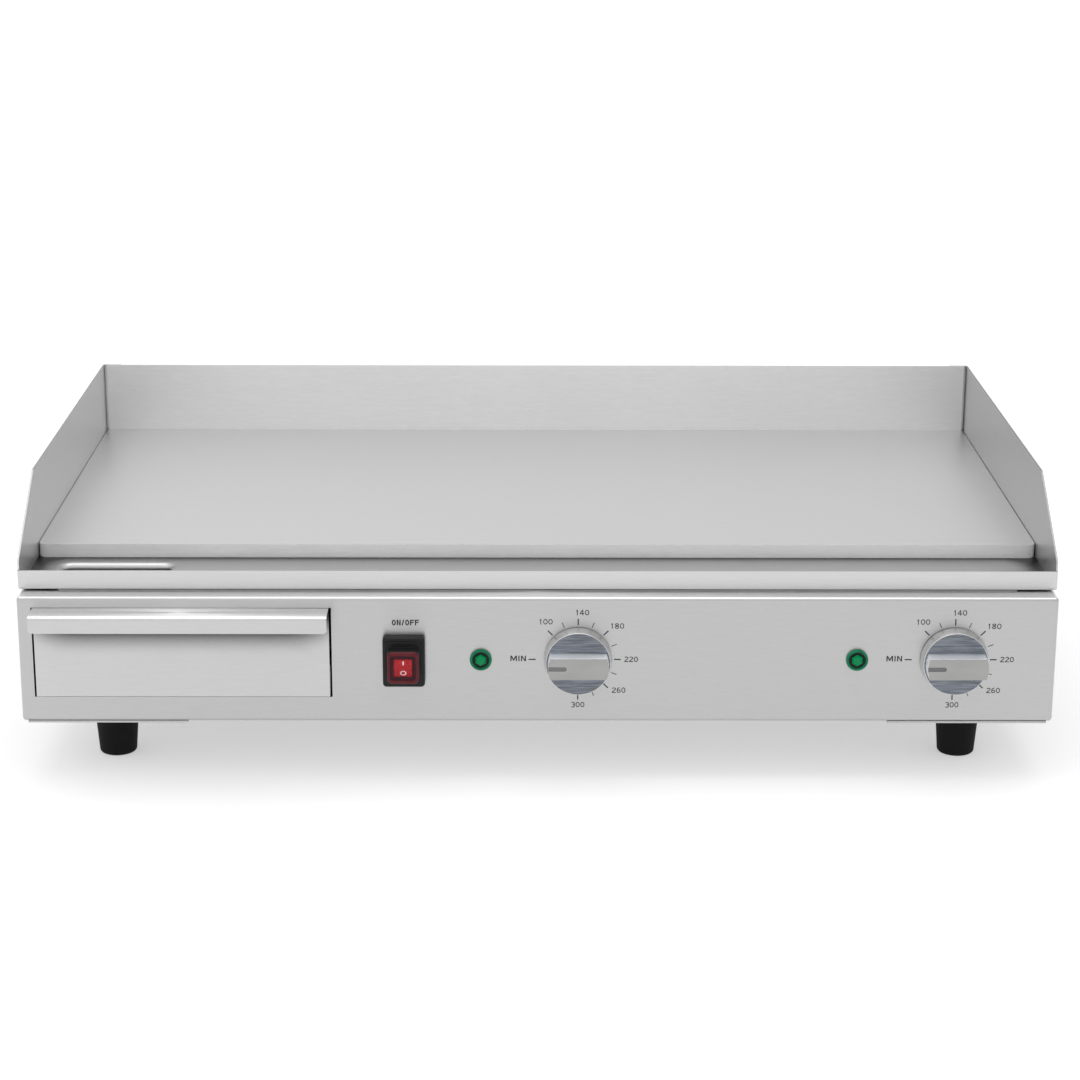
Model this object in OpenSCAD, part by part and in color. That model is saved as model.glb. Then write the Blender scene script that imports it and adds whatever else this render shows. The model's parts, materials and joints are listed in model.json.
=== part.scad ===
// Countertop electric griddle with two heating zones.
// X runs to the right, Y from the fascia to the rear, Z up. The origin is on the bench, at the
// centre of the unit's box. Modules draw in unit coordinates, where Y is 0 on the fascia's face.

/* [Body] */
// Width over the side panels
body_w = 730; // [720:1:740]
// Depth from the fascia's face to the rear of the splash guard
body_d = 430; // [425:1:450]
// Height of the fascia's lower edge above the bench
body_z = 45; // [44:1:50]
// Height of the fascia
fascia_h = 92; // [90:1:100]
// Thickness of the stainless sheet
sheet = 1.2; // [1:0.1:1.2]
// Outer radius of the folds of the casing
bend_r = 2.5; // [2:0.5:3]

/* [Top] */
// Overhang of the pan past each side of the casing
pan_over = 1; // [0.5:0.1:1.5]
// Set-back of the pan's front lip from the fascia's face
lip_y = 15.7; // [14:0.1:17]
// Height of the lip from the pan's underside
lip_h = 14; // [11:0.1:14]
// Height of the splash guard from the pan's underside
guard_h = 67.6; // [60:0.1:80]
// Distance from the fascia's face to the bend of the side guards
guard_bend_y = 89; // [85:0.1:95]
// Height of the side guards at the lip, from the pan's underside
guard_front_h = 20.8; // [16:0.1:22]
// Thickness of the griddle plate
plate_t = 10; // [8:1:12]
// Distance from the fascia's face to the plate's front edge
plate_y = 90; // [88:1:95]
// Width of the drain slot
slot_w = 86; // [70:1:86]
// Depth of the drain slot
slot_d = 42; // [36:1:44]

/* [Drawer] */
// Width of the drawer's opening in the fascia
opening_w = 210; // [200:1:215]
// Depth of the drawer's box
drawer_d = 160; // [120:1:165]
// Projection of the drawer's folded handle
handle_d = 21; // [16:1:24]
// Height of the handle's front fold
handle_h = 12; // [10:1:16]

/* [Controls] */
// Distance between the two dials
dial_pitch = 265; // [255:1:270]
// Projection of the knobs from the fascia
knob_out = 21.5; // [20:0.5:26]
// Diameter of the knob's skirt
knob_skirt_dia = 48; // [44:0.1:50]
// Diameter of the knob's face and grip bar
knob_face_dia = 45.2; // [40:0.1:46]
// Angle of the switch's rocker to either side
rocker_tilt = 7; // [4:1:8]

/* [Heating] */
// Diameter of the tubular elements
element_dia = 8; // [6.5:0.1:8.5]
// Distance between neighbouring runs of an element
run_pitch = 52; // [48:1:54]

/* [Feet] */
// Diameter of a foot at its top
foot_top_dia = 33.5; // [28:0.5:36]
// Diameter of a foot at the bench
foot_base_dia = 27; // [22:1:27]
// Distance of the feet from the unit's middle plane
foot_x = 307.5; // [300:0.5:320]

/* [Hidden] */
$fn = 64;
// How far a cut runs past the faces that it opens
past = 1;
// Play of a clearance hole round a thread, and of plastic parts that slip together
thread_play = 0.06;
slip = 0.4;
half_w = body_w / 2;
top_z = body_z + fascia_h;
top_flange = 18;
front_flange = 28;
base_flange = 20;
gland_out = 22;
front_y = -(body_d + gland_out - knob_out) / 2;

// Base rails and cover
rail_t = 1.5;
rail_z = body_z - rail_t;
rail_x = [248, 361];
rail_inset = 1;
cover_play = 0.5;
cover_y = [8, body_d - 3];
cover_slots = [[-120:60:120], [190:14:302]];
cover_slot = [40, 4];
foot_y = [60, body_d - 60];
screw_r = 2;
screw_hole_r = 2.15;
screw_head_r = 3.8;
screw_head_h = 2.2;
screw_tip_z = body_z + 6;
flange_y = 15;
screws_side = [for (x = [-358, 358], y = [30, body_d / 2, body_d - 30]) [x, y]];
screws_rails = [for (x = [-275, 275], y = [flange_y, body_d - flange_y]) [x, y]];
screws_cover = [for (x = [-200, 0, 200], y = [flange_y, body_d - flange_y]) [x, y]];
base_screw_spots = concat(screws_side, screws_rails, screws_cover);

// Feet and their screws
foot_round = 2.5;
foot_pocket_r = 7.5;
foot_ledge_z = 10;
m6_r = 3;
m6_hole_r = 3.3;
m6_bore_r = 3.06;
m6_nut_r = 5.7;
m6_nut_h = 5;
m6_head_r = 6;
m6_head_h = 4;
m6_tip = 2;
foot_screw_tip = 3;

// Pan, seal and guards
seal_t = 0.6;
seal_front = [[-338, 338], [16.2, 27]];
seal_side_x = [349, 361];
seal_side_y = [34, body_d - 3];
seal_rear_y = [body_d - 16, body_d - 3];
pan_z = top_z + seal_t;
floor_z = pan_z + sheet;
lip_r = 2;
lip_notch = [2.2, 3, 2.2];
guard_top_z = pan_z + guard_h;
pan_half = half_w + pan_over;
pan_inner = pan_half - sheet;
guard_fold_r = 3.2;
guard_fold_x = pan_half - guard_fold_r;
guard_tab_w = 12;
plate_gap = 0.5;
plate_back_gap = 0.2;
plate_corner_r = 6;
plate_top_z = floor_z + plate_t;
pan_cut_x = 335;
pan_cut_y = [108, 412];
slot_x = -304;
slot_y = 57;
slot_r = 10;
slot_bend_r = 4;
slot_depth = 11;
m5_r = 2.5;
m5_hole_r = 2.75;
m5_bore_r = 2.56;
m5_nut_r = 4.8;
m5_nut_h = 4.5;
m5_tip = 4;
pan_stud_tip_z = top_z - sheet - m5_nut_h - m5_tip;
pan_stud_side = [for (x = [-356, 356], y = [60, body_d / 2, body_d - 60]) [x, y]];
pan_stud_ends = [for (x = [-150, 0, 150], y = [23, body_d - 9]) [x, y]];
pan_stud_spots = concat(pan_stud_side, pan_stud_ends);

// Heating
zone_x = [-182, 182];
runs = 6;
element_r = element_dia / 2;
element_z = floor_z - element_r;
run_back_y = 380;
run_front_y = 160;
leg_y = 116;
leg_r = 10;
leg_end_z = 119;
bead_r = 6;
bead_h = 12;
bead_play = 0.1;
pin_r = 2;
pin_end_z = 99;
bar_t = 3;
bar_w = 20;
bar_half = 145;
bar_y = [200, 290, 370];
bar_z = floor_z - element_dia - bar_t;
clamp_x = [-2 * run_pitch, 0, 2 * run_pitch];
clamp_stud_tip_z = bar_z - m6_nut_h - m6_tip;
shield_x = 340;
shield_y = [124, 408];
shield_z = 102.8;
shield_wall_h = 13;
board_t = 12;
board_play = [1, 2];
board_z = shield_z + sheet;
long_stud_tip_z = shield_z - m6_nut_h - m6_tip;
long_stud_y = [bar_y[0], bar_y[2]];
bulb_r = 3;
bulb_x = run_pitch;
bulb_z = floor_z - bulb_r - bead_play;
bulb_y = [190, 300];
saddle_half = 7;
saddle_h = 4;
capillary_r = 1;
// Capillaries: (y, z) points of the lead from a bulb, then each one's way to its thermostat
capillary_lead = [[190, bulb_z], [172, bulb_z - 2], [150, 127], [128, 121.5], [112, 113]];
capillary_left = [[-92, 94, 103], [-30, 82, 97], [8, 62, 94], [24, 39.9, 91.5]];
capillary_right = [[248, 94, 103], [272, 72, 97], [286, 54, 94], [289, 39.9, 91.5]];

// Controls
control_z = 91.5;
dial_x = [28, 28 + dial_pitch];
lamp_x = [-40.4, -40.4 + dial_pitch];
switch_x = -94.4;
shaft_r = 3;
shaft_bore_r = 3.06;
shaft_end_play = 0.5;
shaft_flat_end = -8;
shaft_hole_r = 5;
shaft_y = [-18, 7];
shaft_flat = 2;
knob_gap = 1;
knob_face_y = 10.5;
knob_bar_h = 15.6;
knob_cavity_r = 18.5;
knob_cavity_d = 6;
knob_hub_r = 6.5;
knob_groove = [13, 2.9, 0.6];
plate_screw_x = 14;
plate_screw_in = 7;
bracket_t = 1.5;
bracket_h = 24;
bracket_r = 3;
thermostat_w = 44;
thermostat_h = 40;
thermostat_d = 34;
thermostat_base_d = 14;
thermostat_drum_r = 18;
spade_t = 0.8;
spade_w = 6.3;
spade_l = 8;
spade_x = 17;
lamp_rim_r = 7.8;
lamp_rim_h = 2;
lamp_dome_r = 6;
lamp_dome_h = 3;
lamp_body_r = 5;
lamp_body_d = 24;
lamp_hole_r = 5.2;
lamp_pin = [0.8, 2.8, 6];
lamp_pin_x = 2.5;
lamp_nut_r = 8.5;
lamp_nut_h = 4;
switch_frame = [29.6, 7.5, 36.9];
switch_body = [26.4, 26, 32];
switch_play = 0.6;
switch_frame_r = 2.5;
switch_tag_x = 6;
switch_tag_z = 9;
switch_collar = [19.2, 11, 21.2];
switch_well = [16, 13, 19.8];
boot_out = [22.3, 12.5, 23.6];
boot_wall = 1.1;
boot_flange = [26, 1.2, 31];
boot_r = 3.5;
boot_flange_r = 2;
boot_inner_r = 0.4;
rocker_w = 14.4;
rocker_half_h = 9;
rocker_front = 8;
rocker_dish = 1;
rocker_back = [4, 3];
rocker_pin_out = 1.5;
rocker_pivot_y = -7;
pivot_r = 1.2;
pivot_bore_r = 1.26;

// Drawer
drawer_x = -250.4;
opening_x = -250.2;
opening_z = [63.3, 129.4];
front_w = opening_w - 3;
handle_notch = [2.4, 4, 2.4];
front_z = [63.5, 129.2];
box_half = 102;
box_z = [63.7, 96];
handle_r = 3;
fold_r = 1.4;
shelf_z = 62.1;
guide_top_z = 86;
guide_end_y = drawer_d + 4;
guide_y = 3;
guide_play = 0.6;
guide_shelf_w = 10;
guide_foot = [12, 30];

// Rear fittings
gland_x = 300;
gland_z = 76;
cable_r = 5;
gland_thread_r = 8;
gland_hole_play = 0.15;
gland_hex_r = 12;
gland_hex_h = 6;
gland_barrel = [12, 14];
gland_nut_h = 5;
gland_cap_r = 11;
gland_cap_end_r = 8;
gland_cap_end_h = 4;
bond_x = 225;
bond_reach = [8, 16];
block_x = [178, 240];
block_y = [378, 400];
block_h = 18;
block_ways = 5;
block_entry_z = 7;
block_entry_d = 8;
block_entry_r = 2.4;
block_screw_z = 8;
block_screw_r = 2.2;
block_slit_z = 12;
block_slit_half = 1;
vent_w = 42;
vent_h = 4;
vent_x = [-250, -190, -130, 130];
vent_z = [70:11:114];

// Wires: the two supply wires start at the terminal block, and the others join the controls
wire_r = 1.5;
block_way = (block_x[1] - block_x[0]) / block_ways;
supply_start_y = [block_y[0] + block_entry_d - 1, 370, 350];
supply_ends = [
    [[130, 210, 50], [-60, 90, 52], [-98, 62, 78], [-100.4, 36, 100.5]],
    [[150, 205, 50], [-40, 84, 52], [-80, 64, 70], [-88.4, 36, 82.5]]
];
control_wires = [
    [[-88.4, 36, 100.5], [-80, 56, 98], [-50, 60, 92], [4, 58, 86], [11, 40, 78]],
    [[-100.4, 36, 82.5], [-102, 52, 68], [-60, 60, 61], [150, 62, 60], [262, 58, 66], [276, 40, 78]],
    [[-42.9, 32, 91.5], [-44, 44, 82], [-20, 52, 72], [22, 52, 70], [35, 40, 78]],
    [[221.9, 32, 91.5], [222, 44, 89], [242, 52, 85], [286, 54, 79], [300, 40, 78]],
    [[45, 30, 104], [58, 50, 106], [54, 90, 100], [52, 115, 90], [52, 116, 98.2]],
    [[310, 30, 104], [322, 50, 106], [316, 90, 100], [312, 115, 90], [312, 116, 98.2]]
];

// ---- Shared shapes ----

// Places what is drawn in unit coordinates in the part's frame.
module unit() {
    translate([0, front_y, 0]) children();
}

// A box from low to high corner.
module block(x, y, z) {
    translate([x[0], y[0], z[0]]) cube([x[1] - x[0], y[1] - y[0], z[1] - z[0]]);
}

// A box centred on x and z, from y[0] to y[1].
module stub(x, z, w, h, y) {
    block([x - w / 2, x + w / 2], y, [z - h / 2, z + h / 2]);
}

// A (y, z) outline extruded along X.
module along_x(x) {
    translate([x[0], 0, 0]) rotate([90, 0, 90]) linear_extrude(x[1] - x[0]) children();
}

// An (x, z) outline extruded along Y.
module along_y(y) {
    translate([0, y[1], 0]) rotate([90, 0, 0]) linear_extrude(y[1] - y[0]) children();
}

module rod_y(x, z, y, r) {
    translate([x, y[0], z]) rotate([-90, 0, 0]) cylinder(r = r, h = y[1] - y[0]);
}

module rod_z(x, y, z, r) {
    translate([x, y, z[0]]) cylinder(r = r, h = z[1] - z[0]);
}

module nut_z(x, y, z, r, bore) {
    difference() {
        translate([x, y, z[0]]) cylinder(r = r, h = z[1] - z[0], $fn = 6);
        rod_z(x, y, [z[0] - past, z[1] + past], bore);
    }
}

module hex_y(x, z, y, r) {
    translate([x, y[0], z]) rotate([-90, 0, 0]) cylinder(r = r, h = y[1] - y[0], $fn = 6);
}

module nut_y(x, z, y, r, bore) {
    difference() {
        hex_y(x, z, y, r);
        rod_y(x, z, [y[0] - past, y[1] + past], bore);
    }
}

// A quarter of a ring as thick as the sheet, in the quadrant that starts at an angle.
module quarter(r, start) {
    rotate(start) intersection() {
        difference() {
            circle(r);
            circle(r - sheet);
        }
        square(r);
    }
}

// A rectangle with round corners, centred, as an outline.
module round_rect(w, h, r) {
    square([w - 2 * r, h], center = true);
    square([w, h - 2 * r], center = true);
    for (x = [-1, 1], y = [-1, 1]) {
        translate([x * (w / 2 - r), y * (h / 2 - r)]) circle(r);
    }
}

// A round-cornered block centred on x and z, from y[0] to y[1].
module round_stub(x, z, w, h, r, y) {
    along_y(y) translate([x, z]) round_rect(w, h, r);
}

// Sweeps a (radius, z) outline around a rectangle with round corners of the same radius.
module around_rect(w, d, r) {
    for (k = [0:3]) {
        out = k % 2 == 0 ? w : d;
        run = k % 2 == 0 ? d : w;
        rotate([0, 0, 90 * k]) {
            translate([out / 2 - r, run / 2 - r, 0]) {
                rotate([90, 0, 0]) linear_extrude(run - 2 * r) children();
                rotate_extrude(angle = 90) children();
            }
        }
    }
}

// A point on the smooth curve through four points, between the middle two.
function between(a, b, c, d, t) =
    0.5 * (2 * b + (c - a) * t + (2 * a - 5 * b + 4 * c - d) * t * t + (3 * b - a - 3 * c + d) * t * t * t);

function smooth(p, steps) = concat(
    [for (i = [0:len(p) - 2], s = [0:steps - 1])
        between(p[max(i - 1, 0)], p[i], p[i + 1], p[min(i + 2, len(p) - 1)], s / steps)],
    [p[len(p) - 1]]
);

function unit_of(v) = v / norm(v);

function tangents(p) = [for (i = [0:len(p) - 1]) unit_of(p[min(i + 1, len(p) - 1)] - p[max(i - 1, 0)])];

// Normals carried along a curve without twist.
function normals(t, i = 0, n = []) =
    i == len(t) ? n : normals(t, i + 1, concat(n, [
        i == 0 ? unit_of(cross(t[0], [0.3, 0.5, 0.8])) : unit_of(n[i - 1] - (n[i - 1] * t[i]) * t[i])
    ]));

// A tube of eight sides along a smooth curve through the points.
module tube(points, r, steps = 4) {
    sides = 8;
    p = smooth(points, steps);
    t = tangents(p);
    n = normals(t);
    last = len(p) - 1;
    rings = [for (i = [0:last], j = [0:sides - 1])
        p[i] + r * (cos(j * 360 / sides) * n[i] + sin(j * 360 / sides) * cross(t[i], n[i]))];
    walls = [for (i = [0:last - 1], j = [0:sides - 1])
        [i * sides + j, (i + 1) * sides + j, (i + 1) * sides + (j + 1) % sides, i * sides + (j + 1) % sides]];
    first_cap = [for (j = [0:sides - 1]) j];
    last_cap = [for (j = [sides - 1:-1:0]) last * sides + j];
    polyhedron(points = rings, faces = concat([first_cap, last_cap], walls));
}

// ---- Casing ----

// Section of the casing's wall with its two folds, from the outer face inwards.
module wall_section(flange) {
    translate([0, body_z + bend_r]) square([sheet, fascia_h - 2 * bend_r]);
    translate([bend_r, top_z - bend_r]) quarter(bend_r, 90);
    translate([bend_r, top_z - sheet]) square([flange - bend_r, sheet]);
    translate([bend_r, body_z + bend_r]) quarter(bend_r, 180);
    translate([bend_r, body_z]) square([base_flange - bend_r, sheet]);
}

// The same wall and folds, turned about an upright corner.
module corner_section() {
    translate([bend_r - sheet, body_z + bend_r]) square([sheet, fascia_h - 2 * bend_r]);
    translate([0, top_z - bend_r]) quarter(bend_r, 0);
    translate([0, body_z + bend_r]) quarter(bend_r, 270);
}

// A full-width face with rounded edges, flanges and short side returns.
module folded_face(flange) {
    run = half_w - bend_r;
    tongue = half_w - top_flange;
    along_x([-run, run]) wall_section(base_flange);
    block([-tongue, tongue], [bend_r, flange], [top_z - sheet, top_z]);
    translate([run, bend_r, 0]) rotate([0, 0, -90]) rotate_extrude(angle = 90) corner_section();
    translate([-run, bend_r, 0]) rotate([0, 0, 180]) rotate_extrude(angle = 90) corner_section();
    along_y([bend_r, base_flange]) side_sections();
}

module side_sections() {
    translate([-half_w, 0]) wall_section(top_flange);
    translate([half_w, 0]) mirror([1, 0]) wall_section(top_flange);
}

module stud_holes(spots, z, r) {
    for (s = spots) rod_z(s[0], s[1], z, r);
}

module casing_holes() {
    stud_holes(pan_stud_spots, [top_z - sheet - past, top_z + past], m5_hole_r);
    stud_holes(base_screw_spots, [body_z - past, body_z + sheet + past], screw_hole_r);
}

module front_fascia() {
    through = [-past, sheet + past];
    unit() color([0.82, 0.82, 0.82]) difference() {
        folded_face(front_flange);
        casing_holes();
        block([opening_x - opening_w / 2, opening_x + opening_w / 2], through, opening_z);
        stub(switch_x, control_z, switch_body[0] + switch_play, switch_body[2] + switch_play, through);
        for (x = lamp_x) rod_y(x, control_z, through, lamp_hole_r);
        for (x = dial_x) {
            rod_y(x, control_z, through, shaft_hole_r);
            for (s = [-1, 1]) rod_y(x + s * plate_screw_x, control_z, through, screw_hole_r);
        }
    }
}

module side_panel(side) {
    unit() color([0.78, 0.78, 0.78]) difference() {
        along_y([base_flange, body_d - base_flange]) mirror([side > 0 ? 1 : 0, 0])
            translate([-half_w, 0]) wall_section(top_flange);
        casing_holes();
    }
}

module side_panel_left() {
    side_panel(-1);
}

module side_panel_right() {
    side_panel(1);
}

module vent_slot(x, z, y) {
    half = (vent_w - vent_h) / 2;
    stub(x, z, 2 * half, vent_h, y);
    for (s = [-1, 1]) rod_y(x + s * half, z, y, vent_h / 2);
}

module rear_panel() {
    through = [body_d - sheet - past, body_d + past];
    unit() color([0.78, 0.78, 0.78]) difference() {
        translate([0, body_d, 0]) mirror([0, 1, 0]) folded_face(top_flange);
        casing_holes();
        for (x = vent_x, z = vent_z) vent_slot(x, z, through);
        rod_y(gland_x, gland_z, through, gland_thread_r + gland_hole_play);
        rod_y(bond_x, gland_z, through, m6_hole_r);
    }
}

module bottom_cover() {
    half = rail_x[0] - cover_play;
    through = [body_z - sheet - past, body_z + past];
    slot_half = (cover_slot[0] - cover_slot[1]) / 2;
    slot_r = cover_slot[1] / 2;
    unit() color([0.7, 0.7, 0.7]) difference() {
        block([-half, half], cover_y, [body_z - sheet, body_z]);
        stud_holes(screws_cover, through, screw_hole_r);
        for (x = cover_slots[0], y = cover_slots[1]) {
            block([x - slot_half, x + slot_half], [y - slot_r, y + slot_r], through);
            for (s = [-slot_half, slot_half]) rod_z(x + s, y, through, slot_r);
        }
    }
}

module base_rail(side) {
    through = [rail_z - past, body_z + past];
    unit() color([0.72, 0.72, 0.72]) difference() {
        mirror([side > 0 ? 0 : 1, 0, 0]) block(rail_x, [rail_inset, body_d - rail_inset], [rail_z, body_z]);
        stud_holes(base_screw_spots, through, screw_hole_r);
        for (y = foot_y) rod_z(side * foot_x, y, through, m6_hole_r);
    }
}

module base_rail_left() {
    base_rail(-1);
}

module base_rail_right() {
    base_rail(1);
}

// A tapered rubber foot with a round lower edge and a pocket for its screw.
module foot(x, y) {
    top = foot_top_dia / 2;
    base = foot_base_dia / 2;
    unit() color([0.07, 0.07, 0.07]) translate([x, y, 0]) difference() {
        rotate_extrude() {
            polygon([
                [0, 0], [base - foot_round, 0], [base - foot_round, foot_round],
                [base, foot_round], [top, rail_z], [0, rail_z]
            ]);
            translate([base - foot_round, foot_round]) intersection() {
                circle(foot_round);
                translate([0, -foot_round]) square(foot_round);
            }
        }
        rod_z(0, 0, [-past, foot_ledge_z], foot_pocket_r);
        rod_z(0, 0, [-past, rail_z + past], m6_hole_r);
    }
}

module foot_front_left() {
    foot(-foot_x, foot_y[0]);
}

module foot_front_right() {
    foot(foot_x, foot_y[0]);
}

module foot_rear_left() {
    foot(-foot_x, foot_y[1]);
}

module foot_rear_right() {
    foot(foot_x, foot_y[1]);
}

module foot_screws() {
    head_z = foot_ledge_z - m6_head_h;
    unit() color([0.6, 0.6, 0.62]) for (x = [-foot_x, foot_x], y = foot_y) {
        rod_z(x, y, [head_z, foot_ledge_z], m6_head_r);
        rod_z(x, y, [foot_ledge_z, body_z + m6_nut_h + foot_screw_tip], m6_r);
    }
}

module foot_nuts() {
    unit() color([0.6, 0.6, 0.62]) for (x = [-foot_x, foot_x], y = foot_y) {
        nut_z(x, y, [body_z, body_z + m6_nut_h], m6_nut_r, m6_bore_r);
    }
}

module base_screws() {
    unit() color([0.6, 0.6, 0.62]) for (s = base_screw_spots) {
        under = abs(s[0]) > rail_x[0] ? rail_z : body_z - sheet;
        rod_z(s[0], s[1], [under - screw_head_h, under], screw_head_r);
        rod_z(s[0], s[1], [under, screw_tip_z], screw_r);
    }
}

// ---- Top ----

// The front strip of the seal ends short of the corners.
module pan_seal() {
    z = [top_z, pan_z];
    sides = seal_side_x;
    unit() color([0.35, 0.35, 0.35]) difference() {
        union() {
            block(seal_front[0], seal_front[1], z);
            block([-sides[1], -sides[0]], seal_side_y, z);
            block(sides, seal_side_y, z);
            block([-sides[1], sides[1]], seal_rear_y, z);
        }
        stud_holes(pan_stud_spots, [top_z - past, pan_z + past], m5_hole_r);
    }
}

module lip_section() {
    translate([lip_y, pan_z + lip_r]) square([sheet, lip_h - lip_r]);
    translate([lip_y + lip_r, pan_z + lip_r]) quarter(lip_r, 180);
}

// Section of the drain slot's rolled rim, from the slot's outer edge inwards and down.
module slot_section() {
    translate([slot_r, floor_z - slot_bend_r]) quarter(slot_bend_r, 90);
    translate([slot_r - slot_bend_r, floor_z - slot_depth]) square([sheet, slot_depth - slot_bend_r]);
}

module top_pan() {
    unit() color([0.84, 0.84, 0.84]) {
        difference() {
            union() {
                along_x([-pan_half, pan_half]) lip_section();
                block([-pan_inner, pan_inner], [lip_y + lip_r, body_d], [pan_z, floor_z]);
            }
            for (s = [-1, 1]) {
                translate([s * pan_half, lip_y, pan_z]) rotate([0, 45, 0]) cube(lip_notch, center = true);
            }
            block([-pan_cut_x, pan_cut_x], pan_cut_y, [pan_z - past, floor_z + past]);
            translate([slot_x, slot_y, pan_z - past]) linear_extrude(sheet + 2 * past)
                round_rect(slot_w, slot_d, slot_r);
        }
        translate([slot_x, slot_y, 0]) around_rect(slot_w, slot_d, slot_r) slot_section();
    }
}

// A right-hand side guard. Its sheet folds round the rear corner into a tab behind the rear guard.
module splash_guard() {
    lip_back = lip_y + sheet;
    wall_front = lip_y + lip_r;
    wall_end = body_d - guard_fold_r;
    tall = [floor_z, guard_top_z];
    along_x([pan_inner, pan_half]) polygon([
        [wall_front, pan_z], [wall_end, pan_z], [wall_end, guard_top_z], [guard_bend_y, guard_top_z],
        [lip_back, pan_z + guard_front_h], [lip_back, pan_z + lip_r], [wall_front, pan_z + lip_r]
    ]);
    translate([guard_fold_x, wall_end, tall[0]]) linear_extrude(tall[1] - tall[0]) quarter(guard_fold_r, 0);
    block([guard_fold_x - guard_tab_w, guard_fold_x], [body_d - sheet, body_d], tall);
}

module splash_guard_left() {
    unit() color([0.72, 0.72, 0.72]) mirror([1, 0, 0]) splash_guard();
}

module splash_guard_right() {
    unit() color([0.72, 0.72, 0.72]) splash_guard();
}

module splash_guard_rear() {
    unit() color([0.8, 0.8, 0.8])
        block([-guard_fold_x, guard_fold_x], [body_d - 2 * sheet, body_d - sheet], [floor_z, guard_top_z]);
}

module griddle_plate() {
    half = pan_inner - plate_gap;
    y = [plate_y, body_d - 2 * sheet - plate_back_gap];
    z = [floor_z, plate_top_z];
    r = plate_corner_r;
    unit() color([0.78, 0.78, 0.78]) {
        block([-half, half], [y[0] + r, y[1]], z);
        block([-half + r, half - r], [y[0], y[0] + 2 * r], z);
        for (s = [-1, 1]) rod_z(s * (half - r), y[0] + r, z, r);
    }
}

module pan_studs() {
    unit() color([0.65, 0.65, 0.67]) stud_holes(pan_stud_spots, [pan_stud_tip_z, pan_z], m5_r);
}

module pan_nuts() {
    z = [top_z - sheet - m5_nut_h, top_z - sheet];
    unit() color([0.65, 0.65, 0.67]) for (s = pan_stud_spots) {
        nut_z(s[0], s[1], z, m5_nut_r, m5_bore_r);
    }
}

// ---- Heating ----

function is_long(x, y) = x == 0 && (y == long_stud_y[0] || y == long_stud_y[1]);

module plate_studs() {
    unit() color([0.55, 0.55, 0.57]) for (zone = zone_x, x = clamp_x, y = bar_y) {
        tip = is_long(x, y) ? long_stud_tip_z : clamp_stud_tip_z;
        rod_z(zone + x, y, [tip, floor_z], m6_r);
    }
}

module clamp_bars() {
    z = [bar_z, bar_z + bar_t];
    unit() color([0.5, 0.5, 0.52]) for (zone = zone_x, y = bar_y) {
        difference() {
            block([zone - bar_half, zone + bar_half], [y - bar_w / 2, y + bar_w / 2], z);
            for (x = clamp_x) rod_z(zone + x, y, [z[0] - past, z[1] + past], m6_hole_r);
        }
    }
}

module clamp_nuts() {
    unit() color([0.6, 0.6, 0.62]) for (zone = zone_x, x = clamp_x, y = bar_y) {
        nut_z(zone + x, y, [bar_z - m6_nut_h, bar_z], m6_nut_r, m6_bore_r);
    }
}

function run_x(i) = (i - (runs - 1) / 2) * run_pitch;

// A tubular element: straight runs joined by half turns, with two legs turned down at the front.
module heating_element(zone) {
    bend = run_pitch / 2;
    leg_front_y = leg_y + leg_r;
    unit() color([0.3, 0.28, 0.26]) translate([zone, 0, 0]) {
        for (i = [0:runs - 1]) {
            start = (i == 0 || i == runs - 1) ? leg_front_y : run_front_y;
            rod_y(run_x(i), element_z, [start, run_back_y], element_r);
        }
        for (i = [0:runs - 2]) {
            back = i % 2 == 0;
            translate([run_x(i) + bend, back ? run_back_y : run_front_y, element_z])
                rotate([0, 0, back ? 0 : 180]) rotate_extrude(angle = 180)
                    translate([bend, 0]) circle(element_r);
        }
        for (i = [0, runs - 1]) {
            translate([run_x(i), leg_front_y, element_z - leg_r]) rotate([180, -90, 0])
                rotate_extrude(angle = 90) translate([leg_r, 0]) circle(element_r);
            rod_z(run_x(i), leg_y, [leg_end_z, element_z - leg_r], element_r);
            rod_z(run_x(i), leg_y, [pin_end_z, leg_end_z], pin_r);
        }
    }
}

module heating_element_left() {
    heating_element(zone_x[0]);
}

module heating_element_right() {
    heating_element(zone_x[1]);
}

module element_beads() {
    unit() color([0.93, 0.92, 0.88]) for (zone = zone_x, i = [0, runs - 1]) {
        difference() {
            rod_z(zone + run_x(i), leg_y, [leg_end_z - bead_h, leg_end_z], bead_r);
            rod_z(zone + run_x(i), leg_y, [leg_end_z - bead_h - past, leg_end_z + past], pin_r + bead_play);
        }
    }
}

module insulation_board() {
    half = shield_x - sheet - board_play[0];
    y = [shield_y[0] + board_play[1], shield_y[1] - board_play[1]];
    z = [board_z, board_z + board_t];
    unit() color([0.92, 0.9, 0.84]) difference() {
        block([-half, half], y, z);
        for (x = zone_x, sy = long_stud_y) rod_z(x, sy, [z[0] - past, z[1] + past], m6_hole_r);
    }
}

module heat_shield() {
    inside = shield_x - sheet;
    through_y = [shield_y[0] - past, shield_y[1] + past];
    unit() color([0.7, 0.71, 0.72]) difference() {
        block([-shield_x, shield_x], shield_y, [shield_z, shield_z + shield_wall_h]);
        block([-inside, inside], through_y, [board_z, board_z + shield_wall_h]);
        for (x = zone_x, y = long_stud_y) rod_z(x, y, [shield_z - past, board_z + past], m6_hole_r);
    }
}

module shield_nuts() {
    unit() color([0.6, 0.6, 0.62]) for (x = zone_x, y = long_stud_y) {
        nut_z(x, y, [shield_z - m6_nut_h, shield_z], m6_nut_r, m6_bore_r);
    }
}

// A sensing bulb under the plate, with its capillary tube to the thermostat.
module sensor(zone, route) {
    x = zone + bulb_x;
    lead = [for (p = capillary_lead) [x, p[0], p[1]]];
    unit() color([0.72, 0.45, 0.3]) {
        rod_y(x, bulb_z, bulb_y, bulb_r);
        tube(concat(lead, route), capillary_r, 3);
    }
}

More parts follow.
